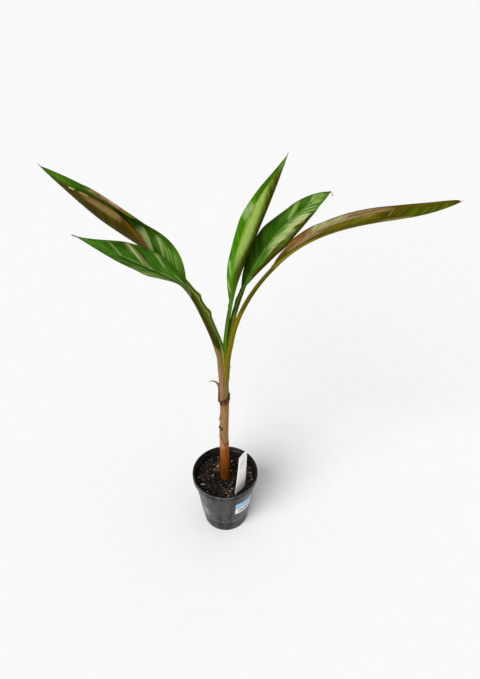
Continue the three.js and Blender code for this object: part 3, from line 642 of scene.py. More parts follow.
# ---------------------------------------------------------------------------------------------
# Leaves: five of them fan out of the stem. Each has a channelled stalk that clasps its neighbours
# at the foot, whose rib runs on under the blade, and a blade that is still half rolled. Blades are
# green above, with cream and pink streaks along their side veins, and wine-brown or grey below.
#
# start to curl_right are the leaf's own rule: where its midrib leaves the fork, compass angle and
# how far it turns, angle above the horizon at even steps, lengths, outline, and roll, fold and
# bend of the section. foot is where its stalk comes down into the stem, clasp how much wider it is
# there, taper how far it runs out to a point, pull how far up it leans in, foot_line how far up
# the stem's colour runs, rims how far its channel's rims stand up, and lobes where they flare:
# height along it and how far. hem is a rolled margin: side, start and end along the blade, length,
# turn. margin is how brown the edge has dried. tail is the dry thread at the tip: length, drop and
# half its width. The tone pair is painted shade: how light the left and the right half are, as the
# light falls on them, and what the tip adds, above and below. A mark is a stroke: kind, 0 above or
# 1 below, start and end as (along, across), its widths there, and its strength. Lengths are
# millimetres.
LEAVES = {
    "right": {
        "start": (10.5, -1.5), "heading": 1, "swing": 18, "climb": [90, 69, 46, 13, 1, 16],
        "length": 441, "petiole": 171, "girth": 1, "half_width": 18.4, "broad": 1.07, "full": 0.52,
        "twist": [25, 16, 20], "fold": [41, 62, 55],
        "curl_left": [33, 37, 50, 1], "curl_right": [40, 1, 23, 37],
        "foot": (6.6, -1.6), "clasp": 0.65, "pull": 36, "taper": 0, "foot_line": 92, "rims": 0.1, "lobes": (),
        "hem": (-1, 26, 84, 2.4, 60), "margin": 0.8, "tail": (4, 0, 0.5),
        "upper": ("#3c4510", "#948b50"), "under": ("#262300", "#6a6010"),
        "shade_and_tone": ((0.5, 0.5, -0.1), (0.4, 0.5, -0.1)),
        "stalk": ("#585206", "#3a2e04", "#706408"),
        "marks": [
            ("rust", 0, (36, -9), (68, -15), 8, 7, 1.0), ("rust", 1, (24, 9), (52, 13), 3, 3, 0.9),
            ("wine", 0, (0, -4), (36, -7), 9, 6, 0.9),
            ("cream", 0, (60, -9), (112, -14), 9, 8, 0.85), ("pink", 0, (76, -16), (180, -17), 4, 4, 0.7),
            ("white", 0, (66, -13), (88, -16), 3.6, 3, 0.6),
            ("olive", 1, (0, 0), (68, 0), 7, 5, 0.9), ("olive", 1, (70, 9), (150, 10), 10, 8, 0.6),
            ("pink", 1, (40, 13), (118, 18), 4, 4, 1.0), ("pink", 1, (30, 7), (76, 10), 4, 5, 0.5),
            # The sheen strokes here are the underside's pinkish tan, but the short one across the crease is a
            # painted highlight.
            ("tan_and_painted_sheen", 1, (104, 17), (166, 18), 7, 7, 0.9), ("tan_and_painted_sheen", 1, (126, 12), (146, 15), 5, 6, 0.6),
            ("wine", 1, (124, 9), (172, 8), 8, 10, 0.45), ("tan_and_painted_sheen", 1, (172, 18), (164, 7), 2.4, 1.4, 0.6),
            ("tan_and_painted_sheen", 1, (60, 0), (112, 0), 2, 2, 0.5), ("tan_and_painted_sheen", 1, (150, 1), (196, 1), 3, 2, 0.6),
            ("rust", 1, (172, 19), (262, 9), 2, 2, 0.7),
            ("green", 1, (184, 7), (268, 3), 26, 16, 0.45), ("olive", 1, (206, 11), (192, -2), 5, 4, 0.4),
            ("olive", 1, (222, 10), (208, -2), 4, 3, 0.4), ("olive", 1, (236, 9), (222, -2), 4, 4, 0.4),
            ("olive", 1, (252, 6), (238, -2), 5, 4, 0.4), ("green", 1, (196, 16), (250, 9), 7, 6, 0.6),
        ],
    },
    "centre": {
        "start": (3, 0.5), "heading": 52, "swing": -5, "climb": [85, 79, 63, 53, 56, 60],
        "length": 308, "petiole": 90, "girth": 0.96, "half_width": 32, "broad": 0.98, "full": 1.17,
        "twist": [-10, 9, 7], "fold": [18, 18, 18],
        "curl_left": [47, -14, 1, 5], "curl_right": [93, 133, 157, 115],
        "foot": (4, 0.5), "clasp": 0.3, "pull": 26, "taper": 0, "foot_line": 8, "rims": 0.1, "lobes": (),
        "hem": (-1, 0, 0, 0.5, 0), "margin": 0.08, "tail": (2.5, 0, 0.4),
        "upper": ("#183f00", "#468402"), "under": ("#2c3a00", "#7a9a34"),
        "shade_and_tone": ((0.6, 0.2, 0.0), (0.4, 0.55, 0.0)),
        "stalk": ("#386804", "#4a7a0a", "#62762a"),
        "marks": [
            ("cream", 0, (122, -31), (142, -15), 20, 12, 0.6), ("cream", 0, (60, -22), (42, -11), 4, 2, 0.7),
            ("cream", 0, (36, -14), (20, -5), 3, 2, 0.6), ("deep", 0, (152, -18), (206, -8), 16, 8, 0.6),
            # Below, the pale stroke towards the roll's edge and the wine stroke by the midrib paint the
            # roll's shading over its colour: light at its edge, dark by the rib.
            ("fresh", 0, (78, -18), (28, -9), 12, 8, 0.6), ("pale", 1, (50, 26), (175, 21), 12, 8, 0.85),
            ("wine", 1, (30, 8), (196, 6), 26, 16, 0.95), ("green", 1, (16, 12), (84, 17), 14, 12, 0.7),
        ],
    },
    "back": {
        "start": (7, 6), "heading": 39, "swing": -7, "climb": [83, 77, 61, 45, 26, 12],
        "length": 301, "petiole": 112, "girth": 1.15, "half_width": 22, "broad": 1.1, "full": 0.75,
        "twist": [-1, -8, -10], "fold": [26, 4, 10],
        "curl_left": [24, 27, -15, 11], "curl_right": [8, -12, 4, 2],
        "foot": (5.8, 0.8), "clasp": 0.3, "pull": 64, "taper": 0, "foot_line": 84, "rims": 0.15,
        "lobes": ((98, 1.2),),
        "hem": (1, 12, 158, 8.0, 150), "margin": 0.7, "tail": (6, 9, 1.5),
        "upper": ("#0f2c00", "#44751a"), "under": ("#201f00", "#4a4808"),
        "shade_and_tone": ((0.25, 0.75, 0.15), (0.4, 0.4, 0.0)),
        "stalk": ("#263e04", "#36560c", "#667010"),
        "marks": [
            ("cream", 0, (68, 5), (100, 9), 5, 12, 0.7), ("cream", 0, (94, 8), (140, 12), 13, 8, 0.95),
            ("cream", 0, (160, 11), (140, 1), 3, 2, 0.7), ("cream", 0, (172, 7), (150, 0), 3, 2, 0.7),
            ("cream", 0, (153, 14), (134, 3), 3, 2, 0.7), ("cream", 0, (150, -17), (118, -3), 5, 3, 0.5),
            ("cream", 0, (168, -8), (148, 0), 3, 2, 0.5), ("pale", 0, (182, -1), (160, -4), 8, 12, 0.7),
            ("deep", 0, (0, -4), (70, -9), 14, 14, 0.85), ("wine", 0, (150, 15), (96, 18), 8, 10, 1.0),
            ("wine", 0, (96, 18), (30, 12), 10, 7, 1.0), ("pink", 0, (136, 12), (104, 12.5), 1.6, 1.6, 1.0),
            ("pink", 0, (104, 12.5), (55, 9), 1.6, 1.6, 1.0),
            ("fresh", 0, (110, -10), (156, -12), 12, 10, 0.5),
        ],
    },
    "upper_left": {
        "start": (0.5, 5), "heading": 163, "swing": 0, "climb": [81, 68, 47, 25, 39, 43],
        "length": 375, "petiole": 137, "girth": 1.1, "half_width": 36, "broad": 0.83, "full": 0.97,
        "twist": [20, 18, -2], "fold": [3, 40, 32],
        "curl_left": [-12, 78, 88, -14], "curl_right": [23, 80, 60, 42],
        "foot": (2.0, -3.0), "clasp": 0.1, "pull": 58, "taper": 0.9, "foot_line": 30, "rims": 0.35,
        "lobes": ((84, 3.8), (112, 4.0)),
        "hem": (1, 84, 186, 6.0, 125), "margin": 0.7, "tail": (4, 0, 0.5),
        "upper": ("#1a3a00", "#4e7c1c"), "under": ("#221b00", "#4c4206"),
        "shade_and_tone": ((0.4, 0.35, 0.2), (0.35, 0.6, 0.1)),
        "stalk": ("#506610", "#6a822c", "#808a40"),
        "marks": [
            # The fresh and white strokes at the base are the leaf's pale stripes, painted lighter as light
            # against the shade the curled half casts there.
            ("fresh", 0, (0, 5), (74, 14), 22, 16, 0.95), ("deep", 0, (64, 27), (130, 30), 10, 12, 0.8),
            ("white", 0, (90, 19), (60, -1), 17, 6, 1.0), ("cream", 0, (66, 22), (42, 1), 8, 3, 0.8),
            ("cream", 0, (56, 20), (33, 2), 3, 2, 0.5), ("cream", 0, (46, 17), (25, 2), 3, 2, 0.5),
            ("cream", 0, (36, 16), (18, 3), 3, 2, 0.4),
            ("deep", 0, (188, 10), (140, 22), 8, 12, 0.5), ("fresh", 0, (226, 2), (190, 8), 6, 8, 0.7),
            # Below: the white and pink dots on the crest are painted glints, and the sheen stroke under them
            # is a painted highlight.
            ("white", 1, (194, -17), (186, -20), 1.6, 1.6, 1.0),
            ("pink", 1, (181, -21.5), (168, -25.5), 2.0, 2.0, 0.8),
            ("rust", 1, (60, -28), (106, -36), 6, 3, 0.4), ("tan_and_painted_sheen", 1, (176, -20), (112, -33), 6, 8, 0.5),
            ("olive", 1, (84, 37), (118, 40), 11, 11, 0.6), ("pink", 1, (118, 38), (176, 25), 11, 9, 0.85),
            ("white", 1, (132, 36), (158, 30), 3, 3, 0.5), ("pink", 0, (178, 21), (122, 33), 5, 7, 1.0),
            ("olive", 0, (122, 34), (54, 31), 5, 3, 0.9),
            ("wine", 1, (210, -4), (90, -6), 9, 12, 0.5),
        ],
    },
    "lower_left": {
        "start": (-3, -2.5), "heading": 194, "swing": -9, "climb": [84, 73, 67, 34, 33, 27],
        "length": 298, "petiole": 130, "girth": 1.05, "half_width": 27, "broad": 0.87, "full": 1.29,
        "twist": [-1, 6, 3], "fold": [11, 18, 1],
        "curl_left": [44, 0, -10, -14], "curl_right": [13, 8, 4, -19],
        "foot": (-2.9, -0.6), "clasp": 0.2, "pull": 26, "taper": 0, "foot_line": 31, "rims": 0.1, "lobes": (),
        "hem": (-1, 0, 0, 0.5, 0), "margin": 0.6, "tail": (3.5, 1.4, 1.0),
        "upper": ("#173f00", "#43771a"), "under": ("#3c3a0c", "#6c6a30"),
        "shade_and_tone": ((0.3, 0.4, 0.3), (0.5, 0.5, 0.0)),
        "stalk": ("#413a02", "#4c5410", "#846c3a"),
        "marks": [
            ("fresh", 0, (134, -4), (110, -9), 12, 14, 0.8), ("fresh", 0, (100, -15), (46, -14), 8, 8, 0.6),
            ("fresh", 0, (62, 12), (28, 4), 12, 8, 0.6), ("deep", 0, (130, 9), (80, 23), 9, 8, 0.75),
            ("fresh", 0, (166, 0), (132, -3), 10, 16, 0.6), ("deep", 0, (92, 22), (74, 10), 7, 5, 0.8),
            ("pink", 0, (106, 22), (76, 1), 8, 3, 0.7), ("cream", 0, (104, 21), (76, 1), 2.6, 1.8, 1.0),
            ("cream", 0, (99, 20), (70, -1), 1.8, 1.4, 0.9), ("pink", 0, (93, 19), (66, -1), 1.8, 1.4, 0.8),
            ("cream", 0, (128, 13), (104, -3), 3, 2, 0.6), ("cream", 0, (66, 25), (49, 11), 4, 2, 0.6),
            ("pale", 0, (122, -16), (24, -13), 4, 4, 0.5), ("pale", 0, (98, -24), (46, -23), 9, 9, 0.9),
            ("pink", 0, (52, -21), (26, -12), 5, 4, 0.45), ("cream", 0, (110, 0), (10, -1), 2.5, 3, 0.5),
            ("cream", 0, (34, 7), (2, 2), 2.4, 1.6, 0.8), ("cream", 0, (26, -7), (-2, -2), 2.2, 1.6, 0.8),
        ],
    },
}
WAX_SPECULAR, WAX_TINT = 0.035, "#dce470"  # a thin, faintly yellow wax bloom
PETIOLE_WING = 3.5  # half the width of the blade where it runs down on to the stalk
PETIOLE_RADII = [3.9, 3.4, 3.0, 2.7]
PETIOLE_DEPTH = 1.05  # depth of the stalk for its width
PETIOLE_ROOT = 34.0  # length of stalk that runs down inside the stem
CLASP_HEIGHT = 20.0  # how far above the fork a stalk's foot is widened
FOOT_SLANT = 10.0  # how much higher the stem's colour runs up the outside of a stalk
LOBE_SPREAD = 5.5  # how far along the stalk a flared rim fades
STALK_ROWS, STALK_SIDES = 120, 64
BLADE_SHEET = 0.5  # real thickness of the lamina
VEIN_SWEEP = 1.35  # how far a side vein runs forward for each mm across
VEIN_PITCH, VEIN_RISE = 5.5, 0.16  # between the ripples along the side veins, and half their height
BUCKLE, MIDRIB_GROOVE = 0.5, 0.3  # broad unevenness of the blade, and depth of the line above its rib
MARGIN_WAVE = 13.0  # degrees by which a margin's bend wavers along it
MARGIN_TURN = 0.4  # length of the last strip of a margin, where there is no hem
BLADE_ROWS, TAIL_ROWS, HALF_COLUMNS, HEM_COLUMNS = 230, 12, 24, 6
MIDRIB_STEPS = 60


def midrib(leaf, u, twist):
    """Points and directions at the shares u of the leaf's length.

    The heading turns evenly and the climb follows its stations. The point is the sum of 60 short
    steps taken in the direction at their middles. side is level and square to the leaf, rolled
    by twist about it, and normal = side x forward is the face that looks up.
    """
    def direction(share):
        heading = np.radians(leaf["heading"] + leaf["swing"] * share)
        climb = np.radians(along(leaf["climb"], share))
        ahead = np.cos(climb)
        return np.stack([ahead * np.cos(heading), ahead * np.sin(heading), np.sin(climb)], -1)

    steps = direction((np.arange(MIDRIB_STEPS) + 0.5) / MIDRIB_STEPS) * leaf["length"] / MIDRIB_STEPS
    start = np.array([[*leaf["start"], FORK_HEIGHT + GAP]])
    points = np.concatenate([start, start + np.cumsum(steps, 0)])
    i = np.clip(np.floor(u * MIDRIB_STEPS).astype(int), 0, MIDRIB_STEPS - 1)
    f = (u * MIDRIB_STEPS - i)[:, None]
    forward = direction(u)
    heading = np.radians(leaf["heading"] + leaf["swing"] * u)
    level = np.stack([np.sin(heading), -np.cos(heading), 0 * heading], -1)
    side = level * np.cos(twist)[:, None] + np.cross(level, forward) * np.sin(twist)[:, None]
    return points[i] * (1 - f) + points[i + 1] * f, side, np.cross(side, forward)


def stalk_finish(name, below, channel, foot):
    """Living petiole: waxy and finely ribbed, paler along its channel, browner where it leaves
    the stem. The rims of its channel are painted pale as their highlight."""
    material, tree, shader = surface_of(name)
    place_on = add(tree, "CombineXYZ", {
        0: add(tree, "Attribute", attribute_name="turn_mm").outputs["Fac"],
        1: add(tree, "Attribute", attribute_name="rise_mm").outputs["Fac"],
    })
    stretch = add(tree, "Mapping", {"Vector": place_on.outputs[0], "Scale": (1.6, 0.03, 1.0)})
    fibre = add(tree, "TexNoise", {"Vector": stretch.outputs[0], "Scale": 1.0, "Detail": 3.0}).outputs[0]
    sharp = add(tree, "MapRange", {0: fibre, 1: 0.35, 2: 0.65, 3: 0.0, 4: 1.0}).outputs[0]
    darker = tuple(c * 0.6 for c in linear(below)[:3]) + (1.0,)
    outside = add(tree, "Mix", {0: sharp, 6: darker, 7: linear(below)}, data_type="RGBA").outputs[2]
    hollow = add(tree, "Attribute", attribute_name="channel").outputs["Fac"]
    colour = add(tree, "Mix", {0: hollow, 6: outside, 7: linear(channel)}, data_type="RGBA").outputs[2]
    # Painted highlight along the channel's rims.
    rim_highlight = add(tree, "Attribute", attribute_name="rim").outputs["Fac"]
    colour = add(tree, "Mix", {0: rim_highlight, 6: colour, 7: linear("#b2ba68")}, data_type="RGBA").outputs[2]
    rooted = add(tree, "Attribute", attribute_name="foot").outputs["Fac"]
    colour = add(tree, "Mix", {0: rooted, 6: colour, 7: linear(foot)}, data_type="RGBA").outputs[2]
    tree.links.new(colour, shader.inputs["Base Color"])
    bump = add(tree, "Bump", {"Height": fibre, "Strength": 0.25, "Distance": 0.0004})
    tree.links.new(bump.outputs[0], shader.inputs["Normal"])
    shader.inputs["Roughness"].default_value = 0.42
    shader.inputs["Specular IOR Level"].default_value = WAX_SPECULAR
    shader.inputs["Specular Tint"].default_value = linear(WAX_TINT)
    return material


def stalk(name, leaf):
    """Petiole as a closed tube along the midrib, sunk into the stem at its foot.

    Section: below, a half ellipse (r cos a, d r sin a); above, a squarer arch d r sin(a)^0.6 less
    a rounded groove that deepens towards the blade, with low wavy rims at 45 and 135 degrees.
    """
    bare = leaf["petiole"] / leaf["length"]
    root = PETIOLE_ROOT / leaf["length"]
    u = np.linspace(-root, bare, STALK_ROWS)
    rise_mm = (u * leaf["length"])[:, None]
    t = np.clip(u / bare, 0, 1)
    sunk = np.clip(-u / root, 0, 1)
    point, side, normal = midrib(leaf, u, np.radians(leaf["twist"][0]) * t)
    into = np.stack([leaf["foot"][0] + 0 * u, leaf["foot"][1] + 0 * u, point[:, 2]], -1)
    point = point + (into - point) * step_up(-rise_mm, -leaf["pull"], 10)
    radius = (along(PETIOLE_RADII, t) * leaf["girth"] * (1 - 0.25 * sunk))[:, None]
    radius = radius * (1 - 0.85 * leaf["taper"] * (1 - step_up(rise_mm, -12, 24)))
    flare = leaf["clasp"] * np.exp(-(np.maximum(rise_mm, 0) / CLASP_HEIGHT) ** 2)
    turn = np.linspace(0, 2 * np.pi, STALK_SIDES, endpoint=False)[None] + np.pi / STALK_SIDES
    across = np.cos(turn) * radius * (1 + flare)
    above = np.sin(turn) > 0
    arch = np.sign(np.sin(turn)) * np.abs(np.sin(turn)) ** np.where(above, 0.6, 1.0)
    groove = (0.1 + 0.75 * step_up(t, 0.0, 0.8))[:, None] * np.exp(-(np.cos(turn) / 0.42) ** 2) * above
    wavy = 0.4 + 1.2 * mottle(rise_mm / 13 + 5, 0 * rise_mm + leaf["heading"], 41)
    on_rim = np.exp(-((np.abs(np.cos(turn)) - 0.72) / 0.16) ** 2) * above
    rims = leaf["rims"] * wavy * step_up(t, 0.15, 0.6)[:, None] * radius
    for at, high in leaf["lobes"]:
        rims = rims + high * np.exp(-((rise_mm - at) / LOBE_SPREAD) ** 2)
    rise = (arch - groove) * radius * PETIOLE_DEPTH * (1 + 0.25 * flare) + rims * on_rim
    rings = point[:, None] + side[:, None] * across[..., None] + normal[:, None] * rise[..., None]
    finish = stalk_finish(f"banana_petiole_{name}", *leaf["stalk"])
    edge = 6 * (mottle(turn * 3, 0 * turn, 42) - 0.5) + leaf["foot_line"] - FOOT_SLANT * np.sin(turn)
    hollow = np.clip(np.sin(turn) * 1.6 - 0.35, 0, 1) * np.exp(-(np.cos(turn) / 0.6) ** 2)
    skin(f"stalk_{name}", rings, finish, (f"petiole_{name}",), masks={
        "turn_mm": turn * 3.5 + 0 * across, "rise_mm": rise_mm + 0 * across,
        "channel": hollow + 0 * across,
        "foot": 0.92 * step_up(edge - rise_mm, -5, 5) + 0 * across,
        "rim": min(1, 2.4 * leaf["rims"]) * on_rim ** 2.5 * step_up(rise_mm, -10, 12),
    })


# Colours of the strokes: young and older greens, wine-brown and rust stains, a pinkish tan that is
# both the leaf's own tan and a painted sheen where light shines on the wax, pink to white where a
# streak has no green under its skin, also painted glints as small dots, and the midrib's own.
PAINTS = {
    "fresh": "#5e9226", "green": "#2f5404", "deep": "#142f02", "wine": "#3a3004", "olive": "#7a7616",
    "pale": "#93ac56", "rust": "#84460e", "tan_and_painted_sheen": "#9a8050", "pink": "#c49a76", "cream": "#b8c684",
    "white": "#e4f3a4", "rib": "#8ea656",
}
EVENNESS = 0.65  # how much of the threading a stroke loses on the underside


def blade_finish(name, upper, under):
    """Living banana blade: a waxy skin over green, in fine parallel side veins. The cream and
    pink streaks have no green under the skin, apart from small dots that are painted glints, and the
    underside is duller and wine-brown. Painted shade lightens or darkens each half, and some strokes
    paint sheen."""
    material, tree, shader = surface_of(name)
    read = {
        key: add(tree, "Attribute", attribute_name=key).outputs["Fac"]
        for key in ("vein_mm", "across_mm", "under", "light", "dry", *PAINTS)
    }
    on_blade = add(tree, "CombineXYZ", {0: read["vein_mm"], 1: read["across_mm"], 2: read["under"]})
    fine = add(tree, "Mapping", {"Vector": on_blade.outputs[0], "Scale": (0.5, 0.02, 3.0)})
    streak = add(tree, "TexNoise", {"Vector": fine.outputs[0], "Scale": 1.0, "Detail": 4.0}).outputs[0]
    wide = add(tree, "Mapping", {"Vector": on_blade.outputs[0], "Scale": (0.09, 0.05, 5.0)})
    cloud = add(tree, "TexNoise", {"Vector": wide.outputs[0], "Scale": 1.0, "Detail": 3.0}).outputs[0]
    sharp = add(tree, "MapRange", {0: streak, 1: 0.36, 2: 0.64, 3: 0.0, 4: 1.0}).outputs[0]
    soft = add(tree, "MapRange", {0: cloud, 1: 0.3, 2: 0.7, 3: -0.3, 4: 0.2}).outputs[0]
    # Painted shade: light lightens or darkens each half as the light falls on it, and soft adds random
    # clouds.
    shade_and_tone = add(tree, "Math", {0: read["light"], 1: soft}, operation="ADD").outputs[0]
    contrast = add(tree, "MapRange", {0: read["under"], 1: 0.0, 2: 1.0, 3: 0.3, 4: 0.14}).outputs[0]
    shade_and_tone = add(tree, "Math", {
        0: sharp, 1: contrast, 2: shade_and_tone,
    }, operation="MULTIPLY_ADD", use_clamp=True).outputs[0]
    green = add(tree, "Mix", {0: shade_and_tone, 6: linear(upper[0]), 7: linear(upper[1])}, data_type="RGBA").outputs[2]
    dull = add(tree, "Mix", {0: shade_and_tone, 6: linear(under[0]), 7: linear(under[1])}, data_type="RGBA").outputs[2]
    colour = add(tree, "Mix", {0: read["under"], 6: green, 7: dull}, data_type="RGBA").outputs[2]
    depth = add(tree, "MapRange", {0: read["under"], 1: 0.0, 2: 1.0, 3: 0.6, 4: 0.25}).outputs[0]
    missing = add(tree, "Math", {0: 1.0, 1: sharp}, operation="SUBTRACT").outputs[0]
    lost = add(tree, "Math", {0: missing, 1: depth}, operation="MULTIPLY").outputs[0]
    cut = add(tree, "Math", {0: 1.03, 1: lost}, operation="SUBTRACT").outputs[0]
    for key, hue in PAINTS.items():
        amount = add(tree, "Math", {0: read[key], 1: cut}, operation="MULTIPLY", use_clamp=True).outputs[0]
        colour = add(tree, "Mix", {0: amount, 6: colour, 7: linear(hue)}, data_type="RGBA").outputs[2]
    colour = add(tree, "Mix", {0: read["dry"], 6: colour, 7: linear("#5a3216")}, data_type="RGBA").outputs[2]
    tree.links.new(colour, shader.inputs["Base Color"])
    rough = add(tree, "MapRange", {0: read["under"], 1: 0.0, 2: 1.0, 3: 0.38, 4: 0.5}).outputs[0]
    tree.links.new(rough, shader.inputs["Roughness"])
    bump = add(tree, "Bump", {"Height": streak, "Strength": 0.35, "Distance": 0.0004})
    tree.links.new(bump.outputs[0], shader.inputs["Normal"])
    shader.inputs["Specular IOR Level"].default_value = WAX_SPECULAR
    shader.inputs["Specular Tint"].default_value = linear(WAX_TINT)
    return material


def stroked(marks, kind, face, at, out, comb):
    """The strongest of the strokes of one kind on one face: full within 0.2 of its breadth of the
    line from its start to its end and none beyond 0.75 of it, the breadth running between its two
    widths times 0.55 + 0.9 comb, a field from 0 to 1 that breaks it into threads. It thins out at
    its ends."""
    total = 0 * at
    comb = comb + (0.5 - comb) * EVENNESS * face
    for title, side, start, end, wide, narrow, strength in marks:
        if (title, side) == (kind, face):
            run = np.subtract(end, start)
            share = ((at - start[0]) * run[0] + (out - start[1]) * run[1]) / (run @ run)
            t = np.clip(share, 0, 1)
            off = np.hypot(at - start[0] - t * run[0], out - start[1] - t * run[1])
            breadth = (wide * (1 - t) + narrow * t) * (0.55 + 0.9 * comb)
            ends = step_up(share, -0.12, 0.12 + 0.3 * comb) * (1 - step_up(share, 0.7 + 0.3 * comb, 1.12))
            total = np.maximum(total, strength * ends * (1 - step_up(off, 0.2 * breadth, 0.75 * breadth)))
    return total


def blade(name, leaf):
    """Blade as one closed sheet: its upper face at the leaf's own surface, its lower face a sheet
    thickness below and bulged by the rib, (1 - (x / r)^2)^(1/2) deep within r of the midrib.

    Half-width: the largest of half_width sin(pi v^broad)^full, the wing (1 - v)^3 and a fine tip.
    Each half leaves the midrib at the angle fold and bends evenly by curl to its margin. A hem
    follows it, a short arc that turns on. Past v = 1 the rows are the dry tail.
    """
    length = leaf["length"] - leaf["petiole"]
    base = leaf["petiole"] / leaf["length"]
    tail_long, tail_drop, tail_wide = leaf["tail"]
    past = np.linspace(0, 1, TAIL_ROWS + 1)[1:]
    v = np.concatenate([np.linspace(0, 1, BLADE_ROWS), 1 + past * tail_long / length])
    inside, beyond = np.clip(v, 0, 1), np.concatenate([np.zeros(BLADE_ROWS), past])
    u = base + (1 - base) * v
    point, side, normal = midrib(leaf, u, np.radians(along(leaf["twist"], u)))
    point = point - np.array([0, 0, tail_drop]) * (beyond ** 2.5)[:, None]
    shape = np.maximum(np.sin(np.pi * inside ** leaf["broad"]), 0) ** leaf["full"]
    width = np.maximum(leaf["half_width"] * shape, PETIOLE_WING * (1 - inside) ** 3)
    width = np.maximum(width, 1.2 * (1 - inside) ** 0.5 + tail_wide) * (1 - 0.6 * beyond)
    half = np.linspace(0, 1, HALF_COLUMNS + 1) ** 1.25
    step = np.arange(1, HEM_COLUMNS + 1) / HEM_COLUMNS
    fold = np.radians(along(leaf["fold"], inside))[:, None]
    hem_side, hem_start, hem_end, hem_long, hem_turn = leaf["hem"]
    at_mm = v * length
    hemmed = step_up(at_mm, hem_start - 1, hem_start + 22) * (1 - step_up(at_mm, hem_end - 25, hem_end + 1))
    hemmed = hemmed[:, None]
    halves = []
    for sign, stations in ((-1, leaf["curl_left"]), (1, leaf["curl_right"])):
        wave = MARGIN_WAVE * (mottle(inside * 9 + 3, 0 * v + 10 * sign + leaf["heading"], 43) - 0.5)
        bend = np.radians(along(stations, inside) + wave * np.sin(np.pi * inside))[:, None]
        bend = np.where(np.abs(bend) < 0.01, 0.01, bend)
        lean = fold + bend * half
        across = width[:, None] * (np.sin(lean) - np.sin(fold)) / bend
        rise = width[:, None] * (np.cos(fold) - np.cos(lean)) / bend
        rolled = hemmed * (sign == hem_side)
        long = (MARGIN_TURN * np.minimum(1, width / 4))[:, None]
        long = long + rolled * hem_long * np.minimum(1, width / 12)[:, None]
        turning = lean[:, -1:] + np.radians(hem_turn) * rolled * (step - 0.5 / HEM_COLUMNS)
        out_by = across[:, -1:] + np.cumsum(np.cos(turning) * long / HEM_COLUMNS, 1)
        up_by = rise[:, -1:] + np.cumsum(np.sin(turning) * long / HEM_COLUMNS, 1)
        across, rise = np.concatenate([across, out_by], 1), np.concatenate([rise, up_by], 1)
        lean = np.concatenate([lean, lean[:, -1:] + np.radians(hem_turn) * rolled * step], 1)
        x = np.concatenate([half * width[:, None], width[:, None] + long * step], 1)
        halves.append(np.stack([sign * across, rise, lean, sign * x, 0 * x + sign], -1))
    left, right = halves
    section = np.concatenate([left[:, :0:-1], right], 1)
    across, rise, lean, out, sign = (section[..., k] for k in range(5))
    x = np.abs(out)
    q = x / width[:, None]
    vein = v[:, None] * length - VEIN_SWEEP * x
    tapering = 0.3 * (1 - inside) + 0.7 * np.exp(-inside / 0.12)
    rib = (leaf["girth"] * PETIOLE_RADII[-1] * tapering + 0.2)[:, None]
    turned_by = lean * (1 - np.exp(-(x / (0.6 * rib)) ** 2))

    open_ = step_up(q, 0.08, 0.3) * (1 - step_up(q, 0.8, 1.0)) * np.sin(np.pi * inside)[:, None]
    ripple = VEIN_RISE * np.sin(2 * np.pi * vein / VEIN_PITCH) * open_
    ripple += BUCKLE * (mottle(vein / 21 + 40, q * 2 + 9, leaf["heading"]) - 0.5) * open_
    ripple -= MIDRIB_GROOVE * np.exp(-(x / 0.9) ** 2) * np.minimum(1, width / 5)[:, None]
    hang = 0.8 * PETIOLE_DEPTH * rib * np.sqrt(np.maximum(1 - (x / rib) ** 2, 0))

    def face(offset):
        aside = across - sign * offset * np.sin(turned_by)
        over = rise + offset * np.cos(turned_by)
        return point[:, None] + side[:, None] * aside[..., None] + normal[:, None] * over[..., None]

    def both(below, above):
        return np.concatenate([below, above[:, ::-1]], 1)

    edge = np.where(sign < 0, x[:, :1], x[:, -1:])
    margin = step_up(x, edge - 0.8, edge - 0.2)
    comb = mottle(vein / 3.8 + 60, out / 45 + 20, leaf["heading"] + 1)
    comb = step_up(0.6 * comb + 0.4 * mottle(vein / 1.5 + 90, out / 30 + 20, leaf["heading"] + 2), 0.3, 0.65)
    thin = np.minimum(BLADE_SHEET, width[:, None] * 0.3 + 0.06) * (1 - 0.5 * margin)
    rings = both(face(ripple - thin - hang), face(ripple))
    at = v[:, None] * length + 0 * x
    tip = step_up(inside, 0.975, 0.999)[:, None] + 0 * x
    masks = {
        kind: both(*(stroked(leaf["marks"], kind, face_side, at, out, comb) for face_side in (1, 0)))
        for kind in PAINTS
    }
    # Painted shade: how light each half is, as the light falls on it, with what the tip adds.
    half_shades = [
        np.where(sign < 0, left_tone, right_tone) + add_tip * v[:, None]
        for left_tone, right_tone, add_tip in leaf["shade_and_tone"]
    ]
    dried = np.maximum(leaf["margin"] * margin, tip)
    masks |= {
        "vein_mm": both(vein, vein), "across_mm": both(out, out), "under": both(0 * x + 1, 0 * x),
        "light": both(half_shades[1], half_shades[0]), "dry": both(dried, dried),
        "rib": both(0.2 * np.exp(-(x / rib) ** 2), 0.45 * np.exp(-(x / 0.8) ** 2)),
    }
    spread = np.clip(0.25 + 0.23 * out / (width[:, None] + 8), 0.01, 0.49)
    finish = blade_finish(f"banana_blade_{name}", leaf["upper"], leaf["under"])
    share = (v / v[-1])[:, None] + 0 * x
    uv = np.stack([both(spread, spread + 0.5), both(share, share)], -1)
    skin(f"blade_skin_{name}", rings, finish, (f"blade_{name}",), masks=masks, uv=uv)


for name, leaf in LEAVES.items():
    stalk(name, leaf)
    blade(name, leaf)

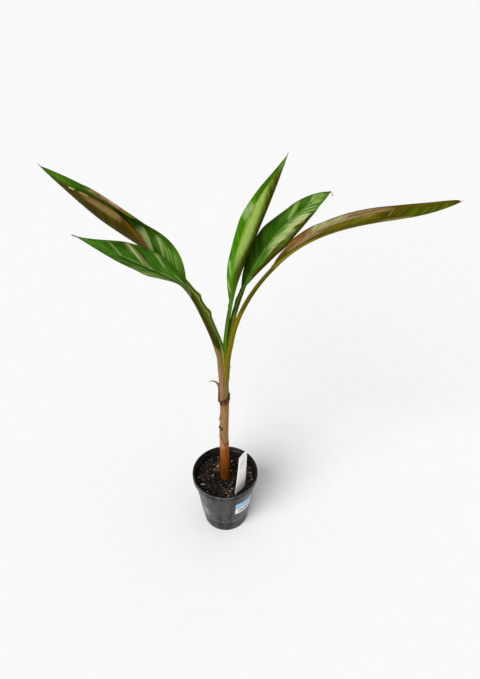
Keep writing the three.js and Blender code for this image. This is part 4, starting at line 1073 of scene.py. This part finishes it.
# ---------------------------------------------------------------------------------------------
# Dried sheath: the tip of an old leaf base that has come away above the scar and curled over, thin
# as paper and brown. Short scraps of older sheaths still cling to the stem round it.
SHEATH = {
    "start": (-5.9, -2.4), "heading": 186, "swing": 0, "climb": [92, 91, 91, 88, 70, 34, -25], "length": 55,
}
SHEATH_START, SHEATH_HALF_WIDTH, SHEATH_TIP, SHEATH_THICKNESS, SHEATH_WRAP = 291.0, 3.6, 2.5, 0.5, 40.0
SHEATH_TWIST = -58.0  # how far its inner face turns to the front
SHEATH_ROWS, SHEATH_COLUMNS = 70, 15
# Scraps: degrees from the front, height and rise of the scrap, half its width, how far its tip
# stands off, and how old (dark) it is.
SCRAPS = [
    (64, 290, 19, 2.6, 1.8, 0.9), (92, 294, 14, 2.2, 1.6, 0.9), (78, 287, 13, 3.0, 1.9, 0.8),
    (18, 301, -12, 2.4, 1.0, 1.0), (-34, 297, -10, 2.6, 0.9, 1.0), (-76, 262, -13, 2.0, 1.7, 0.1),
    (-82, 239, -8, 2.6, 1.4, 0.9), (-42, 237, -8, 3.0, 0.7, 1.0), (128, 294, 12, 3.0, 1.5, 0.7),
    (172, 299, -9, 3.0, 1.2, 0.9), (-146, 300, -9, 2.4, 1.4, 0.7),
]
SCRAP_THICKNESS, SCRAP_ROWS, SCRAP_COLUMNS = 0.35, 24, 13

# Dead sheath: papery and matt, coarsely fibred, darker with age and bleached at its torn tips.
dry_sheath, tree, shader = surface_of("dried_banana_sheath")
grid = add(tree, "CombineXYZ", {
    0: add(tree, "Attribute", attribute_name="turn_mm").outputs["Fac"],
    1: add(tree, "Attribute", attribute_name="rise_mm").outputs["Fac"],
})
stretch = add(tree, "Mapping", {"Vector": grid.outputs[0], "Scale": (2.2, 0.08, 1.0)})
fibre = add(tree, "TexNoise", {"Vector": stretch.outputs[0], "Scale": 1.0, "Detail": 4.0}).outputs[0]
fresh = add(tree, "Mix", {0: fibre, 6: linear("#553218"), 7: linear("#94704a")}, data_type="RGBA").outputs[2]
aged = add(tree, "Mix", {0: fibre, 6: linear("#1e0f08"), 7: linear("#5c3824")}, data_type="RGBA").outputs[2]
age = add(tree, "Attribute", attribute_name="age").outputs["Fac"]
brown = add(tree, "Mix", {0: age, 6: fresh, 7: aged}, data_type="RGBA").outputs[2]
bleached = add(tree, "Attribute", attribute_name="bleached").outputs["Fac"]
faded = add(tree, "Mix", {0: bleached, 6: brown, 7: linear("#c6b28c")}, data_type="RGBA").outputs[2]
tree.links.new(faded, shader.inputs["Base Color"])
bump = add(tree, "Bump", {"Height": fibre, "Strength": 0.6, "Distance": 0.0006})
tree.links.new(bump.outputs[0], shader.inputs["Normal"])
shader.inputs["Roughness"].default_value = 0.8
shader.inputs["Specular IOR Level"].default_value = 0.2

t = np.linspace(0, 1, SHEATH_ROWS)
point, side, normal = midrib(SHEATH, t, np.radians(SHEATH_TWIST) + 0 * t)
point = point + np.array([0, 0, SHEATH_START - FORK_HEIGHT - GAP])
q = np.linspace(-1, 1, SHEATH_COLUMNS)[None]
ragged = 1 + 0.25 * (mottle(t * 12 + 3, 0 * t, 31) - 0.5)
tapered = SHEATH_HALF_WIDTH + (SHEATH_TIP - SHEATH_HALF_WIDTH) * t
rounding = np.sqrt(np.clip((1.02 - t) / 0.12, 0, 1))
width = (tapered * ragged * rounding)[:, None]
half_arc = np.radians(SHEATH_WRAP)
wrap = half_arc * q
across, rise = width * np.sin(wrap) / half_arc, width * (1 - np.cos(wrap)) / half_arc
crease = 0.2 * (mottle(q * 4 + 20, t[:, None] * 3, 32) - 0.5)


def sheath_face(offset):
    """The curl's rule: an arc of wrap degrees each way from its middle, pushed along its normal."""
    return (point[:, None] + side[:, None] * (across - offset * np.sin(wrap))[..., None]
            + normal[:, None] * (rise + offset * np.cos(wrap))[..., None])


sheath_rings = np.concatenate([
    sheath_face(crease - SHEATH_THICKNESS / 2), sheath_face(crease + SHEATH_THICKNESS / 2)[:, ::-1],
], 1)
wide = np.concatenate([q * width, (q * width)[:, ::-1]], 1)
skin("dried_sheath_curl", sheath_rings, dry_sheath, ("dried_sheath",), masks={
    "turn_mm": wide, "rise_mm": t[:, None] * SHEATH["length"] + 0 * wide,
    "age": 0.85 * (1 - step_up(t, 0.3, 0.75))[:, None] + 0 * wide,
    "bleached": step_up(t, 0.84, 1.0)[:, None] + 0 * wide,
})

# A scrap lies on the stem's own surface, narrows to its tip by (1 - (0.97 t)^3)^(1/2), and stands
# off it by the square of t.
t, q = np.linspace(0, 1, SCRAP_ROWS)[:, None], np.linspace(-1, 1, SCRAP_COLUMNS)[None]
for k, (place_at, low, climb, half_wide, stand, old) in enumerate(SCRAPS):
    narrowing = np.sqrt(1 - (0.97 * t) ** 3) * (0.75 + 0.5 * mottle(t * 5 + 9 * k, 0 * t, 33))
    turned_to = np.radians(place_at) + q * half_wide * narrowing / 7.2
    level = low + climb * (t * (1 - 0.12 * q ** 2) + 0.1 * (mottle(q * 4 + 20 + k, 0 * q, 34) - 0.5) * t)
    off = 0.1 + stand * t ** 2 + 0.5 * (mottle(q * 3 + 30 + k, t * 3, 35) - 0.5) * t
    scrap = np.concatenate([
        stem_point(level, turned_to, off), stem_point(level, turned_to, off + SCRAP_THICKNESS)[:, ::-1],
    ], 1)
    over = np.concatenate([q * half_wide + 0 * t, (q * half_wide + 0 * t)[:, ::-1]], 1)
    skin(f"sheath_scrap_{k}", scrap, dry_sheath, masks={
        "turn_mm": over, "rise_mm": t * abs(climb) + 0 * over,
        "age": old, "bleached": 0.6 * (1 - old) * t + 0 * over,
    })

# ---------------------------------------------------------------------------------------------
# Plant label: a blank strip of white polystyrene pushed into the mix, one top corner cut away,
# slightly bowed, and dusty where it has been handled.
LABEL_FOOT, LABEL_TOP, LABEL_TURN = (17.5, -39.0), (25.0, -30.0, 191.0), 49.0
LABEL_FOOT_WIDTH, LABEL_TOP_WIDTH, LABEL_BURIED_WIDTH = 26.0, 19.0, 12.0
LABEL_THICKNESS, LABEL_BURIED, LABEL_CROWN, LABEL_CHAMFER, LABEL_BOW = 0.7, 20.0, 3.0, 0.55, 0.25
LABEL_ROWS, LABEL_COLUMNS = (6, 60, 8), 14  # rows in the mix, above it and in the cut corner

# Sheet polystyrene: smooth, white and half glossy, smudged grey by potting mix.
label_plastic, tree, shader = surface_of("sheet_polystyrene_white")
where = add(tree, "TexCoord").outputs["Object"]
dirt = add(tree, "TexNoise", {"Vector": where, "Scale": 95.0, "Detail": 6.0, "Roughness": 0.6}).outputs[0]
soil = add(tree, "MapRange", {0: dirt, 1: 0.5, 2: 0.72, 3: 0.0, 4: 0.6}).outputs[0]
white = add(tree, "Mix", {0: soil, 6: linear("#fbf8f3"), 7: linear("#a39f9a")}, data_type="RGBA").outputs[2]
tree.links.new(white, shader.inputs["Base Color"])
shader.inputs["Roughness"].default_value = 0.42

turn = np.radians(LABEL_TURN)
across = np.array([np.cos(turn), np.sin(turn), 0])
foot, top = np.array([*LABEL_FOOT, MIX_HEIGHT]), np.array(LABEL_TOP)
lean = (top - foot) / np.linalg.norm(top - foot)
outward = np.cross(across, lean)
span = np.linalg.norm(top - foot)
buried = np.linspace(-LABEL_BURIED, 0, LABEL_ROWS[0])
standing = np.linspace(0, span, LABEL_ROWS[1])[1:]
crowned = span + np.linspace(0, 1, LABEL_ROWS[2])[1:] * LABEL_CROWN
rise = np.concatenate([buried, standing, crowned])
crown = np.clip((rise - span) / LABEL_CROWN, 0, 1)
wide = np.interp(rise, [-LABEL_BURIED, 0, span], [LABEL_BURIED_WIDTH, LABEL_FOOT_WIDTH, LABEL_TOP_WIDTH])
left = (np.interp(rise, [-LABEL_BURIED, 0], [(LABEL_FOOT_WIDTH - LABEL_BURIED_WIDTH) / 2, 0])
        + LABEL_CHAMFER * LABEL_TOP_WIDTH * crown)
wide = wide - LABEL_CHAMFER * LABEL_TOP_WIDTH * crown
share = np.linspace(0, 1, LABEL_COLUMNS)[None]
bow = LABEL_BOW * (np.sin(np.pi * np.clip(rise / span, 0, 1))[:, None] * 2 + np.sin(np.pi * share))


def label_face(offset):
    """Flat strip foot + lean * rise + across * (left + share * width), bowed along its normal."""
    return (foot + lean * rise[:, None, None] + across * (left[:, None] + share * wide[:, None])[..., None]
            + outward * (bow + offset)[..., None])


skin("blank_label", np.concatenate([
    label_face(-LABEL_THICKNESS / 2), label_face(LABEL_THICKNESS / 2)[:, ::-1],
], 1), label_plastic, ("plant_label",))
